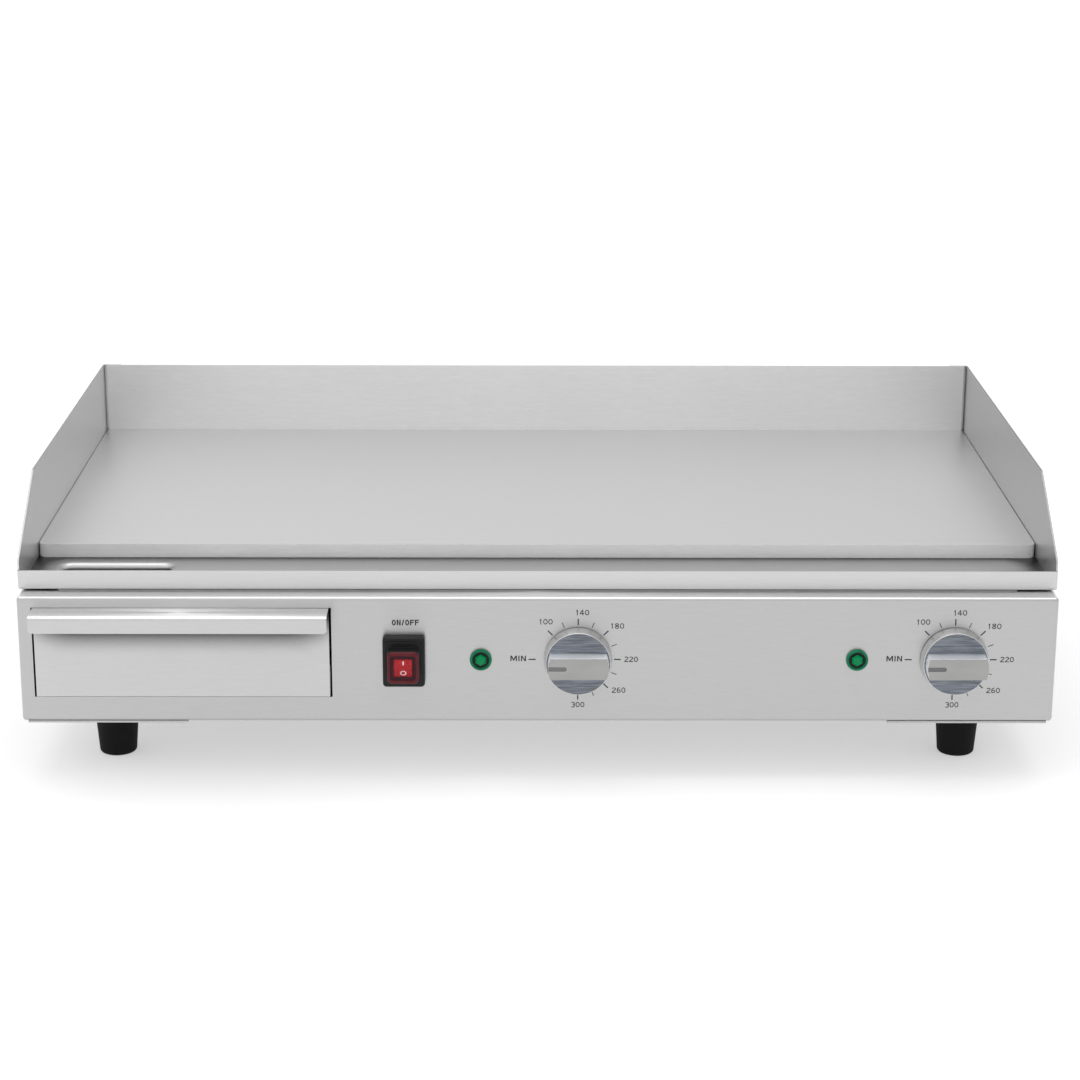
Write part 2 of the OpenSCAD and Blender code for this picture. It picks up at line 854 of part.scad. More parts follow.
module sensor_left() {
    sensor(zone_x[0], capillary_left);
}

module sensor_right() {
    sensor(zone_x[1], capillary_right);
}

module bulb_saddles() {
    half = saddle_half;
    z = [bar_z + bar_t, bar_z + bar_t + saddle_h];
    unit() color([0.75, 0.76, 0.78]) for (zone = zone_x, y = [bar_y[0], bar_y[1]]) {
        x = zone + bulb_x;
        difference() {
            block([x - half, x + half], [y - half, y + half], z);
            rod_y(x, bulb_z, [y - half - past, y + half + past], bulb_r + bead_play);
        }
    }
}

// ---- Controls ----

module thermostat(x) {
    y = [sheet + bracket_t, sheet + bracket_t + thermostat_d];
    base_end = y[0] + thermostat_base_d;
    screw_y = [y[0] - past, plate_screw_in + past];
    unit() color([0.85, 0.84, 0.8]) difference() {
        union() {
            stub(x, control_z, thermostat_w, thermostat_h, [y[0], base_end]);
            rod_y(x, control_z, y, thermostat_drum_r);
            for (s = [-1, 1]) stub(x + s * spade_x, control_z, spade_t, spade_w, [base_end, y[1] - spade_l]);
        }
        rod_y(x, control_z, [y[0] - past, shaft_y[1] + past], shaft_r + slip);
        for (s = [-1, 1]) rod_y(x + s * plate_screw_x, control_z, screw_y, screw_hole_r);
    }
}

module thermostat_left() {
    thermostat(dial_x[0]);
}

module thermostat_right() {
    thermostat(dial_x[1]);
}

module thermostat_brackets() {
    y = [sheet, sheet + bracket_t];
    through = [y[0] - past, y[1] + past];
    unit() color([0.65, 0.66, 0.68]) for (x = dial_x) difference() {
        round_stub(x, control_z, thermostat_w, bracket_h, bracket_r, y);
        rod_y(x, control_z, through, shaft_bore_r);
        for (s = [-1, 1]) rod_y(x + s * plate_screw_x, control_z, through, screw_hole_r);
    }
}

module thermostat_screws() {
    unit() color([0.7, 0.7, 0.72]) for (x = dial_x, s = [-1, 1]) {
        rod_y(x + s * plate_screw_x, control_z, [-screw_head_h, 0], screw_head_r);
        rod_y(x + s * plate_screw_x, control_z, [0, plate_screw_in], screw_r);
    }
}

// A steel shaft with a flat on its top, where the knob pushes on.
module shaft(x) {
    flat_y = [shaft_y[0] - past, shaft_flat_end];
    unit() color([0.7, 0.7, 0.72]) difference() {
        rod_y(x, control_z, shaft_y, shaft_r);
        block([x - shaft_r, x + shaft_r], flat_y, [control_z + shaft_flat, control_z + shaft_r + past]);
    }
}

module shaft_left() {
    shaft(dial_x[0]);
}

module shaft_right() {
    shaft(dial_x[1]);
}

// A hollow knob: tapered skirt, flat face and a full-width grip bar.
module knob(x) {
    skirt = knob_skirt_dia / 2;
    face = knob_face_dia / 2;
    cavity_end = knob_gap + knob_cavity_d;
    groove = knob_groove;
    unit() color([0.8, 0.8, 0.82]) translate([x, 0, control_z]) rotate([90, 0, 0]) difference() {
        union() {
            translate([0, 0, knob_gap]) cylinder(r1 = skirt, r2 = face, h = knob_face_y - knob_gap);
            intersection() {
                translate([0, 0, knob_face_y - past]) cylinder(r = face, h = knob_out - knob_face_y + past);
                translate([-face, -knob_bar_h / 2, 0]) cube([2 * face, knob_bar_h, knob_out]);
            }
        }
        difference() {
            translate([0, 0, knob_gap - past]) cylinder(r = knob_cavity_r, h = knob_cavity_d + past);
            translate([0, 0, knob_gap]) cylinder(r = knob_hub_r, h = cavity_end);
        }
        cylinder(r = shaft_bore_r, h = shaft_end_play - shaft_y[0]);
        translate([-face - past, -groove[1] / 2, knob_out - groove[2]])
            cube([groove[0] + past, groove[1], groove[2] + past]);
    }
}

module knob_left() {
    knob(dial_x[0]);
}

module knob_right() {
    knob(dial_x[1]);
}

module lamp_body(x) {
    pin_y = [lamp_body_d, lamp_body_d + lamp_pin[2]];
    unit() color([0.9, 0.9, 0.88]) {
        rod_y(x, control_z, [0, lamp_body_d], lamp_body_r);
        for (s = [-1, 1]) stub(x + s * lamp_pin_x, control_z, lamp_pin[0], lamp_pin[1], pin_y);
    }
}

module lamp_body_left() {
    lamp_body(lamp_x[0]);
}

module lamp_body_right() {
    lamp_body(lamp_x[1]);
}

// A green lens with a flat rim and a low dome.
module lamp_lens(x) {
    ball_r = (lamp_dome_r * lamp_dome_r + lamp_dome_h * lamp_dome_h) / (2 * lamp_dome_h);
    unit() color([0.05, 0.55, 0.3]) {
        rod_y(x, control_z, [-lamp_rim_h, 0], lamp_rim_r);
        intersection() {
            rod_y(x, control_z, [-lamp_rim_h - lamp_dome_h - past, -lamp_rim_h], lamp_dome_r);
            translate([x, ball_r - lamp_rim_h - lamp_dome_h, control_z]) sphere(ball_r);
        }
    }
}

module lamp_lens_left() {
    lamp_lens(lamp_x[0]);
}

module lamp_lens_right() {
    lamp_lens(lamp_x[1]);
}

module lamp_nuts() {
    unit() color([0.15, 0.15, 0.15]) for (x = lamp_x) {
        nut_y(x, control_z, [sheet, sheet + lamp_nut_h], lamp_nut_r, lamp_body_r + thread_play);
    }
}

module switch_frame() {
    y = [-switch_frame[1], 0];
    hole = [switch_collar[0] + slip, switch_collar[2] + slip];
    unit() color([0.1, 0.1, 0.1]) difference() {
        round_stub(switch_x, control_z, switch_frame[0], switch_frame[2], switch_frame_r, y);
        stub(switch_x, control_z, hole[0], hole[1], [y[0] - past, past]);
    }
}

module switch_housing() {
    collar_y = -switch_collar[1];
    tags = [switch_body[1], switch_body[1] + spade_l];
    well_y = [collar_y - past, collar_y + switch_well[1]];
    unit() color([0.12, 0.12, 0.12]) difference() {
        union() {
            stub(switch_x, control_z, switch_collar[0], switch_collar[2], [collar_y, 0]);
            stub(switch_x, control_z, switch_body[0], switch_body[2], [0, switch_body[1]]);
            for (x = [-switch_tag_x, switch_tag_x], z = [-switch_tag_z, switch_tag_z]) {
                stub(switch_x + x, control_z + z, spade_t, spade_w, tags);
            }
        }
        stub(switch_x, control_z, switch_well[0], switch_well[2], well_y);
        translate([switch_x, rocker_pivot_y, control_z]) rotate([0, 90, 0])
            cylinder(r = pivot_bore_r, h = switch_collar[0] + 2 * past, center = true);
    }
}

// The rocker at rest, with its lower half pressed in.
module switch_rocker() {
    h = rocker_half_h;
    back = rocker_back;
    unit() color([0.75, 0.08, 0.1]) translate([switch_x, rocker_pivot_y, control_z])
        rotate([rocker_tilt, 0, 0]) {
            along_x([-rocker_w / 2, rocker_w / 2]) polygon([
                [-rocker_front, h], [rocker_dish - rocker_front, 0], [-rocker_front, -h],
                [0, -h], [back[0], -back[1]], [back[0], back[1]], [0, h]
            ]);
            rotate([0, 90, 0]) cylinder(r = pivot_r, h = rocker_w + 2 * rocker_pin_out, center = true);
        }
}

module switch_boot() {
    base_y = -switch_frame[1];
    tip_y = base_y - boot_out[1];
    wall = 2 * boot_wall;
    flange_y = [base_y - boot_flange[1], base_y];
    inner_y = [tip_y + boot_wall, past];
    unit() color([0.6, 0.15, 0.15, 0.5]) difference() {
        union() {
            round_stub(switch_x, control_z, boot_out[0], boot_out[2], boot_r, [tip_y, base_y]);
            round_stub(switch_x, control_z, boot_flange[0], boot_flange[2], boot_flange_r, flange_y);
        }
        round_stub(switch_x, control_z, boot_out[0] - wall, boot_out[2] - wall, boot_inner_r, inner_y);
    }
}

// ---- Drawer ----

// One folded channel that carries the drawer, with a stop at its end.
module drawer_guide() {
    reach = box_half + guide_play;
    web = [drawer_x - reach, drawer_x + reach];
    y = [guide_y, guide_end_y];
    stop = [guide_end_y, guide_end_y + sheet];
    left = [web[0] - sheet, web[0]];
    right = [web[1], web[1] + sheet];
    web_z = [body_z + sheet, guide_top_z];
    shelf = [shelf_z, shelf_z + sheet];
    unit() color([0.7, 0.7, 0.7]) {
        block(left, y, web_z);
        block(right, y, web_z);
        block([right[0], right[1] + guide_foot[0]], [guide_foot[1], guide_end_y], [body_z, body_z + sheet]);
        block([web[0], web[0] + guide_shelf_w], y, shelf);
        block([web[1] - guide_shelf_w, web[1]], y, shelf);
        block([left[0], right[1]], stop, [shelf_z, guide_top_z]);
    }
}

module drawer_box() {
    x = [drawer_x - box_half, drawer_x + box_half];
    y = [sheet, drawer_d];
    inside_z = [box_z[0] + sheet, box_z[1] + past];
    unit() color([0.75, 0.75, 0.75]) difference() {
        block(x, y, box_z);
        block([x[0] + sheet, x[1] - sheet], [y[0] + sheet, y[1] - sheet], inside_z);
    }
}

module drawer_section() {
    top = front_z[1];
    translate([0, front_z[0]]) square([sheet, top - fold_r - front_z[0]]);
    translate([sheet - fold_r, top - fold_r]) quarter(fold_r, 0);
    translate([handle_r - handle_d, top - sheet]) square([handle_d - handle_r + sheet - fold_r, sheet]);
    translate([handle_r - handle_d, top - handle_r]) quarter(handle_r, 90);
    translate([-handle_d, top - handle_h]) square([sheet, handle_h - handle_r]);
}

module drawer_front() {
    half = front_w / 2;
    unit() color([0.83, 0.83, 0.83]) difference() {
        along_x([drawer_x - half, drawer_x + half]) drawer_section();
        for (s = [-1, 1]) {
            translate([drawer_x + s * half, -handle_d, front_z[1] - handle_h]) rotate([0, 45, 0])
                cube(handle_notch, center = true);
        }
    }
}

// ---- Electrical ----

module terminal_block() {
    middle_y = (block_y[0] + block_y[1]) / 2;
    top = body_z + block_h + past;
    through_y = [block_y[0] - past, block_y[1] + past];
    unit() color([0.9, 0.89, 0.85]) difference() {
        block(block_x, block_y, [body_z, body_z + block_h]);
        for (i = [0:block_ways - 1]) {
            x = block_x[0] + (i + 0.5) * block_way;
            rod_z(x, middle_y, [body_z + block_screw_z, top], block_screw_r);
            rod_y(x, body_z + block_entry_z, [block_y[0] - past, block_y[0] + block_entry_d], block_entry_r);
        }
        for (i = [1:block_ways - 1]) {
            x = block_x[0] + i * block_way;
            block([x - block_slit_half, x + block_slit_half], through_y, [body_z + block_slit_z, top]);
        }
    }
}

// Insulated wires between the terminal block, switch, lamps, thermostats and elements.
module wires() {
    entry_z = body_z + block_entry_z;
    unit() color([0.75, 0.35, 0.12]) {
        for (i = [0, 1]) {
            x = block_x[0] + (i + 0.5) * block_way;
            start = [for (y = supply_start_y) [x, y, entry_z]];
            tube(concat(start, supply_ends[i]), wire_r, 4);
        }
        for (route = control_wires) tube(route, wire_r, 4);
    }
}

// The bonding stud with its nuts on both faces of the rear panel.
module bonding_stud() {
    wall = [body_d - sheet, body_d];
    unit() color([0.78, 0.62, 0.3]) {
        rod_y(bond_x, gland_z, [wall[0] - bond_reach[0], wall[1] + bond_reach[1]], m6_r);
        for (y = [wall[0] - m6_nut_h, wall[1]]) hex_y(bond_x, gland_z, [y, y + m6_nut_h], m6_nut_r);
    }
}

module cable_gland() {
    barrel = [body_d - gland_barrel[0], body_d + gland_barrel[1]];
    unit() color([0.1, 0.1, 0.1]) difference() {
        union() {
            hex_y(gland_x, gland_z, [body_d, body_d + gland_hex_h], gland_hex_r);
            rod_y(gland_x, gland_z, barrel, gland_thread_r);
        }
        rod_y(gland_x, gland_z, [barrel[0] - past, barrel[1] + past], cable_r);
    }
}

module gland_locknut() {
    y = [body_d - sheet - gland_nut_h, body_d - sheet];
    unit() color([0.1, 0.1, 0.1]) nut_y(gland_x, gland_z, y, gland_hex_r, gland_thread_r + thread_play);
}

module gland_cap() {
    y = [body_d + gland_hex_h, body_d + gland_out - gland_cap_end_h, body_d + gland_out];
    seat_y = body_d + gland_barrel[1];
    unit() color([0.1, 0.1, 0.1]) difference() {
        union() {
            rod_y(gland_x, gland_z, [y[0], y[1]], gland_cap_r);
            translate([gland_x, y[1], gland_z]) rotate([-90, 0, 0])
                cylinder(r1 = gland_cap_r, r2 = gland_cap_end_r, h = gland_cap_end_h);
        }
        rod_y(gland_x, gland_z, [y[0] - past, seat_y], gland_thread_r + thread_play);
        rod_y(gland_x, gland_z, [y[0], y[2] + past], cable_r);
    }
}

front_fascia();
side_panel_left();
side_panel_right();
rear_panel();
bottom_cover();
base_rail_left();
base_rail_right();
foot_front_left();
foot_front_right();
foot_rear_left();
foot_rear_right();
foot_screws();
foot_nuts();
base_screws();
pan_seal();
top_pan();
splash_guard_left();
splash_guard_right();
splash_guard_rear();
griddle_plate();
plate_studs();
pan_studs();
pan_nuts();
heating_element_left();
heating_element_right();
element_beads();
clamp_bars();
clamp_nuts();
insulation_board();
heat_shield();
shield_nuts();
sensor_left();
sensor_right();
bulb_saddles();
thermostat_left();
thermostat_right();
thermostat_brackets();
thermostat_screws();
shaft_left();
shaft_right();
knob_left();
knob_right();
lamp_body_left();
lamp_body_right();
lamp_lens_left();
lamp_lens_right();
lamp_nuts();
switch_frame();
switch_housing();
switch_rocker();
switch_boot();
drawer_guide();
drawer_box();
drawer_front();
terminal_block();
wires();
bonding_stud();
cable_gland();
gland_locknut();
gland_cap();
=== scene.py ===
import json
import math

import bmesh
import bpy
from mathutils import Matrix, Vector


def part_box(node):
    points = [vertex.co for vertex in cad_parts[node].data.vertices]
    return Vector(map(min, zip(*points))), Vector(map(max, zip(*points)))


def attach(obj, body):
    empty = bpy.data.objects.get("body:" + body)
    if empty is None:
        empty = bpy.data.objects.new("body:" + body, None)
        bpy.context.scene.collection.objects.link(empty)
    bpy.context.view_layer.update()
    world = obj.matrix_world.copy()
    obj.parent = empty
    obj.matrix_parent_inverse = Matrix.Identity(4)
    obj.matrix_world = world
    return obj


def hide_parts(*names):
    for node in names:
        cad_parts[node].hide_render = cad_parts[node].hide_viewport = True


# Looks, light and camera for a countertop electric griddle. Lengths are in metres, in the CAD frame,
# and places are read from the CAD nodes. MM turns a length in millimetres into metres.
MM = 0.001
MAP_SOCKETS = ("From Min", "From Max", "To Min", "To Max")

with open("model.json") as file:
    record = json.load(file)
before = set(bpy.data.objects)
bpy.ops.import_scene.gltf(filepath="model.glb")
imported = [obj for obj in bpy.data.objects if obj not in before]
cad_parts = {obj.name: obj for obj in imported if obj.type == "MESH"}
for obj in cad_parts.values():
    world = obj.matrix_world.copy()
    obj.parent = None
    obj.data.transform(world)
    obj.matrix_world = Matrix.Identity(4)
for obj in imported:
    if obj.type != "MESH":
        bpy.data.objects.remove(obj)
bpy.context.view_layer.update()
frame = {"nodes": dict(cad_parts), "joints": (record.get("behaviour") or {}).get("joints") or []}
scene = bpy.context.scene


# ---- Materials ----


class Look:
    """A Principled material, with helpers for the textures that feed it."""

    def __init__(self, name, **sockets):
        self.material = bpy.data.materials.new(name)
        self.material.use_nodes = True
        self.nodes = self.material.node_tree.nodes
        self.links = self.material.node_tree.links
        self.shader = self.nodes["Principled BSDF"]
        for socket, value in sockets.items():
            self.shader.inputs[socket.replace("_", " ")].default_value = value

    def noise(self, per_metre, detail=2.0, distortion=0.0):
        """Noise fixed to the piece, with this many features a metre along X, Y and Z."""
        place = self.nodes.new("ShaderNodeTexCoord")
        mapping = self.nodes.new("ShaderNodeMapping")
        mapping.inputs["Scale"].default_value = per_metre
        texture = self.nodes.new("ShaderNodeTexNoise")
        texture.inputs["Scale"].default_value = 1.0
        texture.inputs["Detail"].default_value = detail
        texture.inputs["Distortion"].default_value = distortion
        self.links.new(place.outputs["Object"], mapping.inputs["Vector"])
        self.links.new(mapping.outputs["Vector"], texture.inputs["Vector"])
        return texture.outputs["Fac"]

    def spread(self, value, low, high, start=0.3, end=0.7):
        """Maps a value from start..end to low..high."""
        node = self.nodes.new("ShaderNodeMapRange")
        for socket, number in zip(MAP_SOCKETS, (start, end, low, high)):
            node.inputs[socket].default_value = number
        self.links.new(value, node.inputs["Value"])
        return node.outputs["Result"]

    def ramp(self, value, low, high, start=0.3, end=0.7):
        """A colour between low and high."""
        node = self.nodes.new("ShaderNodeValToRGB")
        stops = node.color_ramp.elements
        stops[0].position, stops[0].color = start, (*low, 1)
        stops[1].position, stops[1].color = end, (*high, 1)
        self.links.new(value, node.inputs["Fac"])
        return node.outputs["Color"]

    def mix(self, amount, first, second, blend="MIX"):
        """Mixes two colours. The amount is a number or a socket."""
        node = self.nodes.new("ShaderNodeMix")
        node.data_type, node.blend_type = "RGBA", blend
        if isinstance(amount, (int, float)):
            node.inputs[0].default_value = amount
        else:
            self.links.new(amount, node.inputs[0])
        for socket, colour in ((node.inputs[6], first), (node.inputs[7], second)):
            if isinstance(colour, tuple):
                socket.default_value = (*colour, 1)
            else:
                self.links.new(colour, socket)
        return node.outputs[2]

    def math(self, operation, first, second):
        """A sum, difference or product. Each side is a number or a socket."""
        node = self.nodes.new("ShaderNodeMath")
        node.operation = operation
        for socket, value in zip(node.inputs, (first, second)):
            if isinstance(value, (int, float)):
                socket.default_value = value
            else:
                self.links.new(value, socket)
        return node.outputs["Value"]

    def edges(self, radius):
        """Rounds the shading of sharp edges. Returns the round normal and how near an edge a point is."""
        bevel = self.nodes.new("ShaderNodeBevel")
        bevel.samples = 4
        bevel.inputs["Radius"].default_value = radius
        geometry = self.nodes.new("ShaderNodeNewGeometry")
        dot = self.nodes.new("ShaderNodeVectorMath")
        dot.operation = "DOT_PRODUCT"
        self.links.new(bevel.outputs["Normal"], dot.inputs[0])
        self.links.new(geometry.outputs["Normal"], dot.inputs[1])
        return bevel.outputs["Normal"], self.spread(dot.outputs["Value"], 1, 0, 0.85, 0.995)

    def relief(self, height, depth, normal=None, strength=1.0):
        """Bump of a real depth, on top of another normal."""
        node = self.nodes.new("ShaderNodeBump")
        node.inputs["Distance"].default_value = depth
        node.inputs["Strength"].default_value = strength
        self.links.new(height, node.inputs["Height"])
        if normal is not None:
            self.links.new(normal, node.inputs["Normal"])
        return node.outputs["Normal"]

    def stretch(self, amount, axis):
        """Draws reflections out across a grain that runs round an axis."""
        tangent = self.nodes.new("ShaderNodeTangent")
        tangent.direction_type, tangent.axis = "RADIAL", axis
        self.links.new(tangent.outputs["Tangent"], self.shader.inputs["Tangent"])
        self.shader.inputs["Anisotropic"].default_value = amount
        self.shader.inputs["Anisotropic Rotation"].default_value = 0.25

    def paint_shade(self, colour, reach, darkest, level_ones):
        """Paints shade into a colour in corners and under overhangs, from ambient occlusion, on level faces
        or on upright ones.
        """
        shelter = self.nodes.new("ShaderNodeAmbientOcclusion")
        shelter.samples = 32
        shelter.inputs["Distance"].default_value = reach
        shade = self.spread(shelter.outputs["AO"], 1, 0, 0.64, 0.91)
        faces = self.facing("Z") if level_ones else self.math("SUBTRACT", 1, self.facing("Z"))
        shade = self.math("MULTIPLY", shade, faces)
        return self.mix(shade, colour, grey(darkest), "MULTIPLY")

    def facing(self, axis, way=1):
        """One on faces that look along an axis, and nothing on those beside it."""
        geometry, split = self.nodes.new("ShaderNodeNewGeometry"), self.nodes.new("ShaderNodeSeparateXYZ")
        self.links.new(geometry.outputs["Normal"], split.inputs[0])
        return self.spread(self.math("MULTIPLY", split.outputs[axis], way), 0, 1, 0.6, 0.95)

    def wear(self, colour=None, roughness=None, normal=None):
        """Connects what is given to the shader."""
        for socket, value in (("Base Color", colour), ("Roughness", roughness), ("Normal", normal)):
            if value is not None:
                self.links.new(value, self.shader.inputs[socket])
        return self.material


def grey(tone, tint=(1.0, 1.0, 1.0)):
    """A grey, or a colour a little off grey."""
    return tuple(tone * t for t in tint)


# Tone of the casing's brushed sheet, and how many streaks of grain there are in a metre along it.
CASING_TONE = 0.50
ALONG_GRAIN = 110


def brushed(name, tone, along, fine=1300, roughness=(0.30, 0.38), contrast=0.025, edge=0.2 * MM,
            stretched=0.0, level=1.0, shelter=0.0, darkest=0.3, level_painted_shade=False, side_rough=0.0,
            outer=None):
    """Sheet or plate steel with a grain along one axis, soft clouds, light scratches and rubbed edges.

    Reflections on upright faces can be drawn out across the grain, level faces can get a painted-light tone,
    corners and places under overhangs can get painted shade, upright faces can be rougher, and the outer side
    can keep the casing's tone.
    """
    look = Look(name, Metallic=1.0)
    long_way = tuple(ALONG_GRAIN if axis == along else fine for axis in "xyz")
    grain = look.noise(long_way, detail=3)
    coarse = look.noise(tuple(f * 0.4 for f in long_way), detail=2)
    clouds = look.noise((7, 7, 7), detail=3)
    scratch = look.noise(tuple(f * 0.5 for f in long_way), detail=1, distortion=0.4)
    streaks = look.math("ADD", look.math("MULTIPLY", grain, 0.7), look.math("MULTIPLY", coarse, 0.3))
    base = look.ramp(streaks, grey(tone * (1 - contrast)), grey(tone * (1 + contrast)), 0.38, 0.62)
    base = look.mix(0.3, base, look.ramp(clouds, grey(0.93), grey(1.0)), "MULTIPLY")
    # Painted light: level faces get a tone of their own, lighter or darker than the upright faces.
    if level != 1.0:
        base = look.mix(look.facing("Z"), base, grey(min(1.0, tone * level)))
    # Painted light: the inner faces keep the look's own tone, lighter or darker than the casing, and the
    # outer side goes back to the casing's tone.
    if outer:
        casing_like = look.mix(1.0, base, grey(CASING_TONE / tone), "MULTIPLY")
        base = look.mix(look.facing(*outer), base, casing_like)
    normal, near = look.edges(edge)
    rubbed = look.math("MULTIPLY", near, look.spread(clouds, 0.15, 0.5))
    colour = look.mix(rubbed, base, grey(min(1.0, tone * 1.2)))
    # Painted shade: the colour gets darker in corners and under overhangs.
    if shelter:
        colour = look.paint_shade(colour, shelter, darkest, level_painted_shade)
    rough = look.math("ADD", look.spread(grain, *roughness), look.spread(clouds, -0.015, 0.03))
    rough = look.math("SUBTRACT", rough, look.spread(scratch, 0.0, 0.03, 0.66, 0.74))
    rough = look.math("SUBTRACT", rough, look.math("MULTIPLY", rubbed, 0.08))
    if side_rough:
        upright = look.math("SUBTRACT", 1, look.facing("Z"))
        rough = look.math("ADD", rough, look.math("MULTIPLY", upright, side_rough))
    if stretched:
        look.stretch(stretched, "Z")
    return look.wear(colour, rough, look.relief(streaks, 0.02 * MM, normal, 0.25))


def dull_metal(name, tone, roughness, tint=(1, 1, 1), per_metre=900):
    """Rolled, plated or cast metal with a mottled skin and brighter edges."""
    look = Look(name, Metallic=1.0)
    speckle = look.noise((per_metre,) * 3, detail=3)
    stains = look.noise((28, 28, 28), detail=4, distortion=0.6)
    base = look.ramp(speckle, grey(tone * 0.9, tint), grey(tone * 1.08, tint))
    base = look.mix(0.5, base, look.ramp(stains, grey(0.78), grey(1.0)), "MULTIPLY")
    normal, near = look.edges(0.2 * MM)
    colour = look.mix(look.math("MULTIPLY", near, 0.5), base, grey(min(1.0, tone * 1.25), tint))
    rough = look.spread(speckle, roughness - 0.05, roughness + 0.07)
    rough = look.math("ADD", rough, look.spread(stains, 0, 0.08))
    return look.wear(colour, rough, look.relief(speckle, 0.04 * MM, normal, 0.4))


def moulded(name, colour, roughness, per_metre=1600, depth=0.05, edge=0.25 * MM, worn=1.6, **sockets):
    """Moulded plastic, rubber or fired clay with a fine texture and slightly paler edges."""
    look = Look(name, **sockets)
    pores = look.noise((per_metre,) * 3, detail=3)
    clouds = look.noise((40, 40, 40), detail=3)
    low, high = tuple(c * 0.88 for c in colour), tuple(min(1.0, c * 1.1) for c in colour)
    base = look.ramp(clouds, low, high)
    normal, near = look.edges(edge)
    edge_colour = tuple(min(1.0, c * worn + 0.01) for c in colour)
    base = look.mix(look.math("MULTIPLY", near, 0.45), base, edge_colour)
    rough = look.spread(pores, roughness - 0.06, roughness + 0.06)
    rough = look.math("ADD", rough, look.spread(clouds, -0.03, 0.03))
    return look.wear(base, rough, look.relief(pores, depth * MM, normal, 0.35))


def turned(name, tone, roughness, tint, per_metre=2200, stretched=0.6, contrast=0.04):
    """Aluminium spun in a lathe about Y: its grain runs round the axis, so it is fine across and along Y."""
    look = Look(name, Metallic=1.0)
    grain = look.noise((60, per_metre, per_metre * 0.6), detail=3)
    clouds = look.noise((90, 90, 90), detail=3)
    base = look.ramp(grain, grey(tone * (1 - contrast), tint), grey(tone * (1 + contrast), tint), 0.38, 0.62)
    base = look.mix(0.3, base, look.ramp(clouds, grey(0.9), grey(1.0)), "MULTIPLY")
    normal, near = look.edges(0.25 * MM)
    colour = look.mix(look.math("MULTIPLY", near, 0.5), base, grey(min(1.0, tone * 1.3), tint))
    rough = look.spread(grain, roughness - 0.05, roughness + 0.08)
    look.stretch(stretched, "Y")
    return look.wear(colour, rough, look.relief(grain, 0.02 * MM, normal, 0.3))


def glowing(name, colour, light, strength, roughness=0.2, shine=0.5):
    """Plastic that glows: clear coloured plastic with a lamp behind it, and painted glow on pieces that are
    no lamp.
    """
    look = Look(name, Emission_Color=(*light, 1), Emission_Strength=strength, Specular_IOR_Level=shine)
    depth = look.noise((260, 260, 260), detail=2)
    base = look.ramp(depth, tuple(c * 0.75 for c in colour), tuple(min(1.0, c * 1.2) for c in colour))
    normal, _ = look.edges(0.15 * MM)
    rough = look.spread(depth, roughness - 0.05, roughness + 0.08)
    return look.wear(base, rough, look.relief(depth, 0.05 * MM, normal, 0.4))


def clear_skin(name, colour, roughness, cover):
    """Thin clear silicone: mostly see-through, slightly tinted and scuffed."""
    look = Look(name, Alpha=cover)
    scuffs = look.noise((500, 500, 500), detail=3)
    base = look.ramp(scuffs, tuple(c * 0.94 for c in colour), colour)
    return look.wear(base, look.spread(scuffs, roughness, roughness + 0.03))


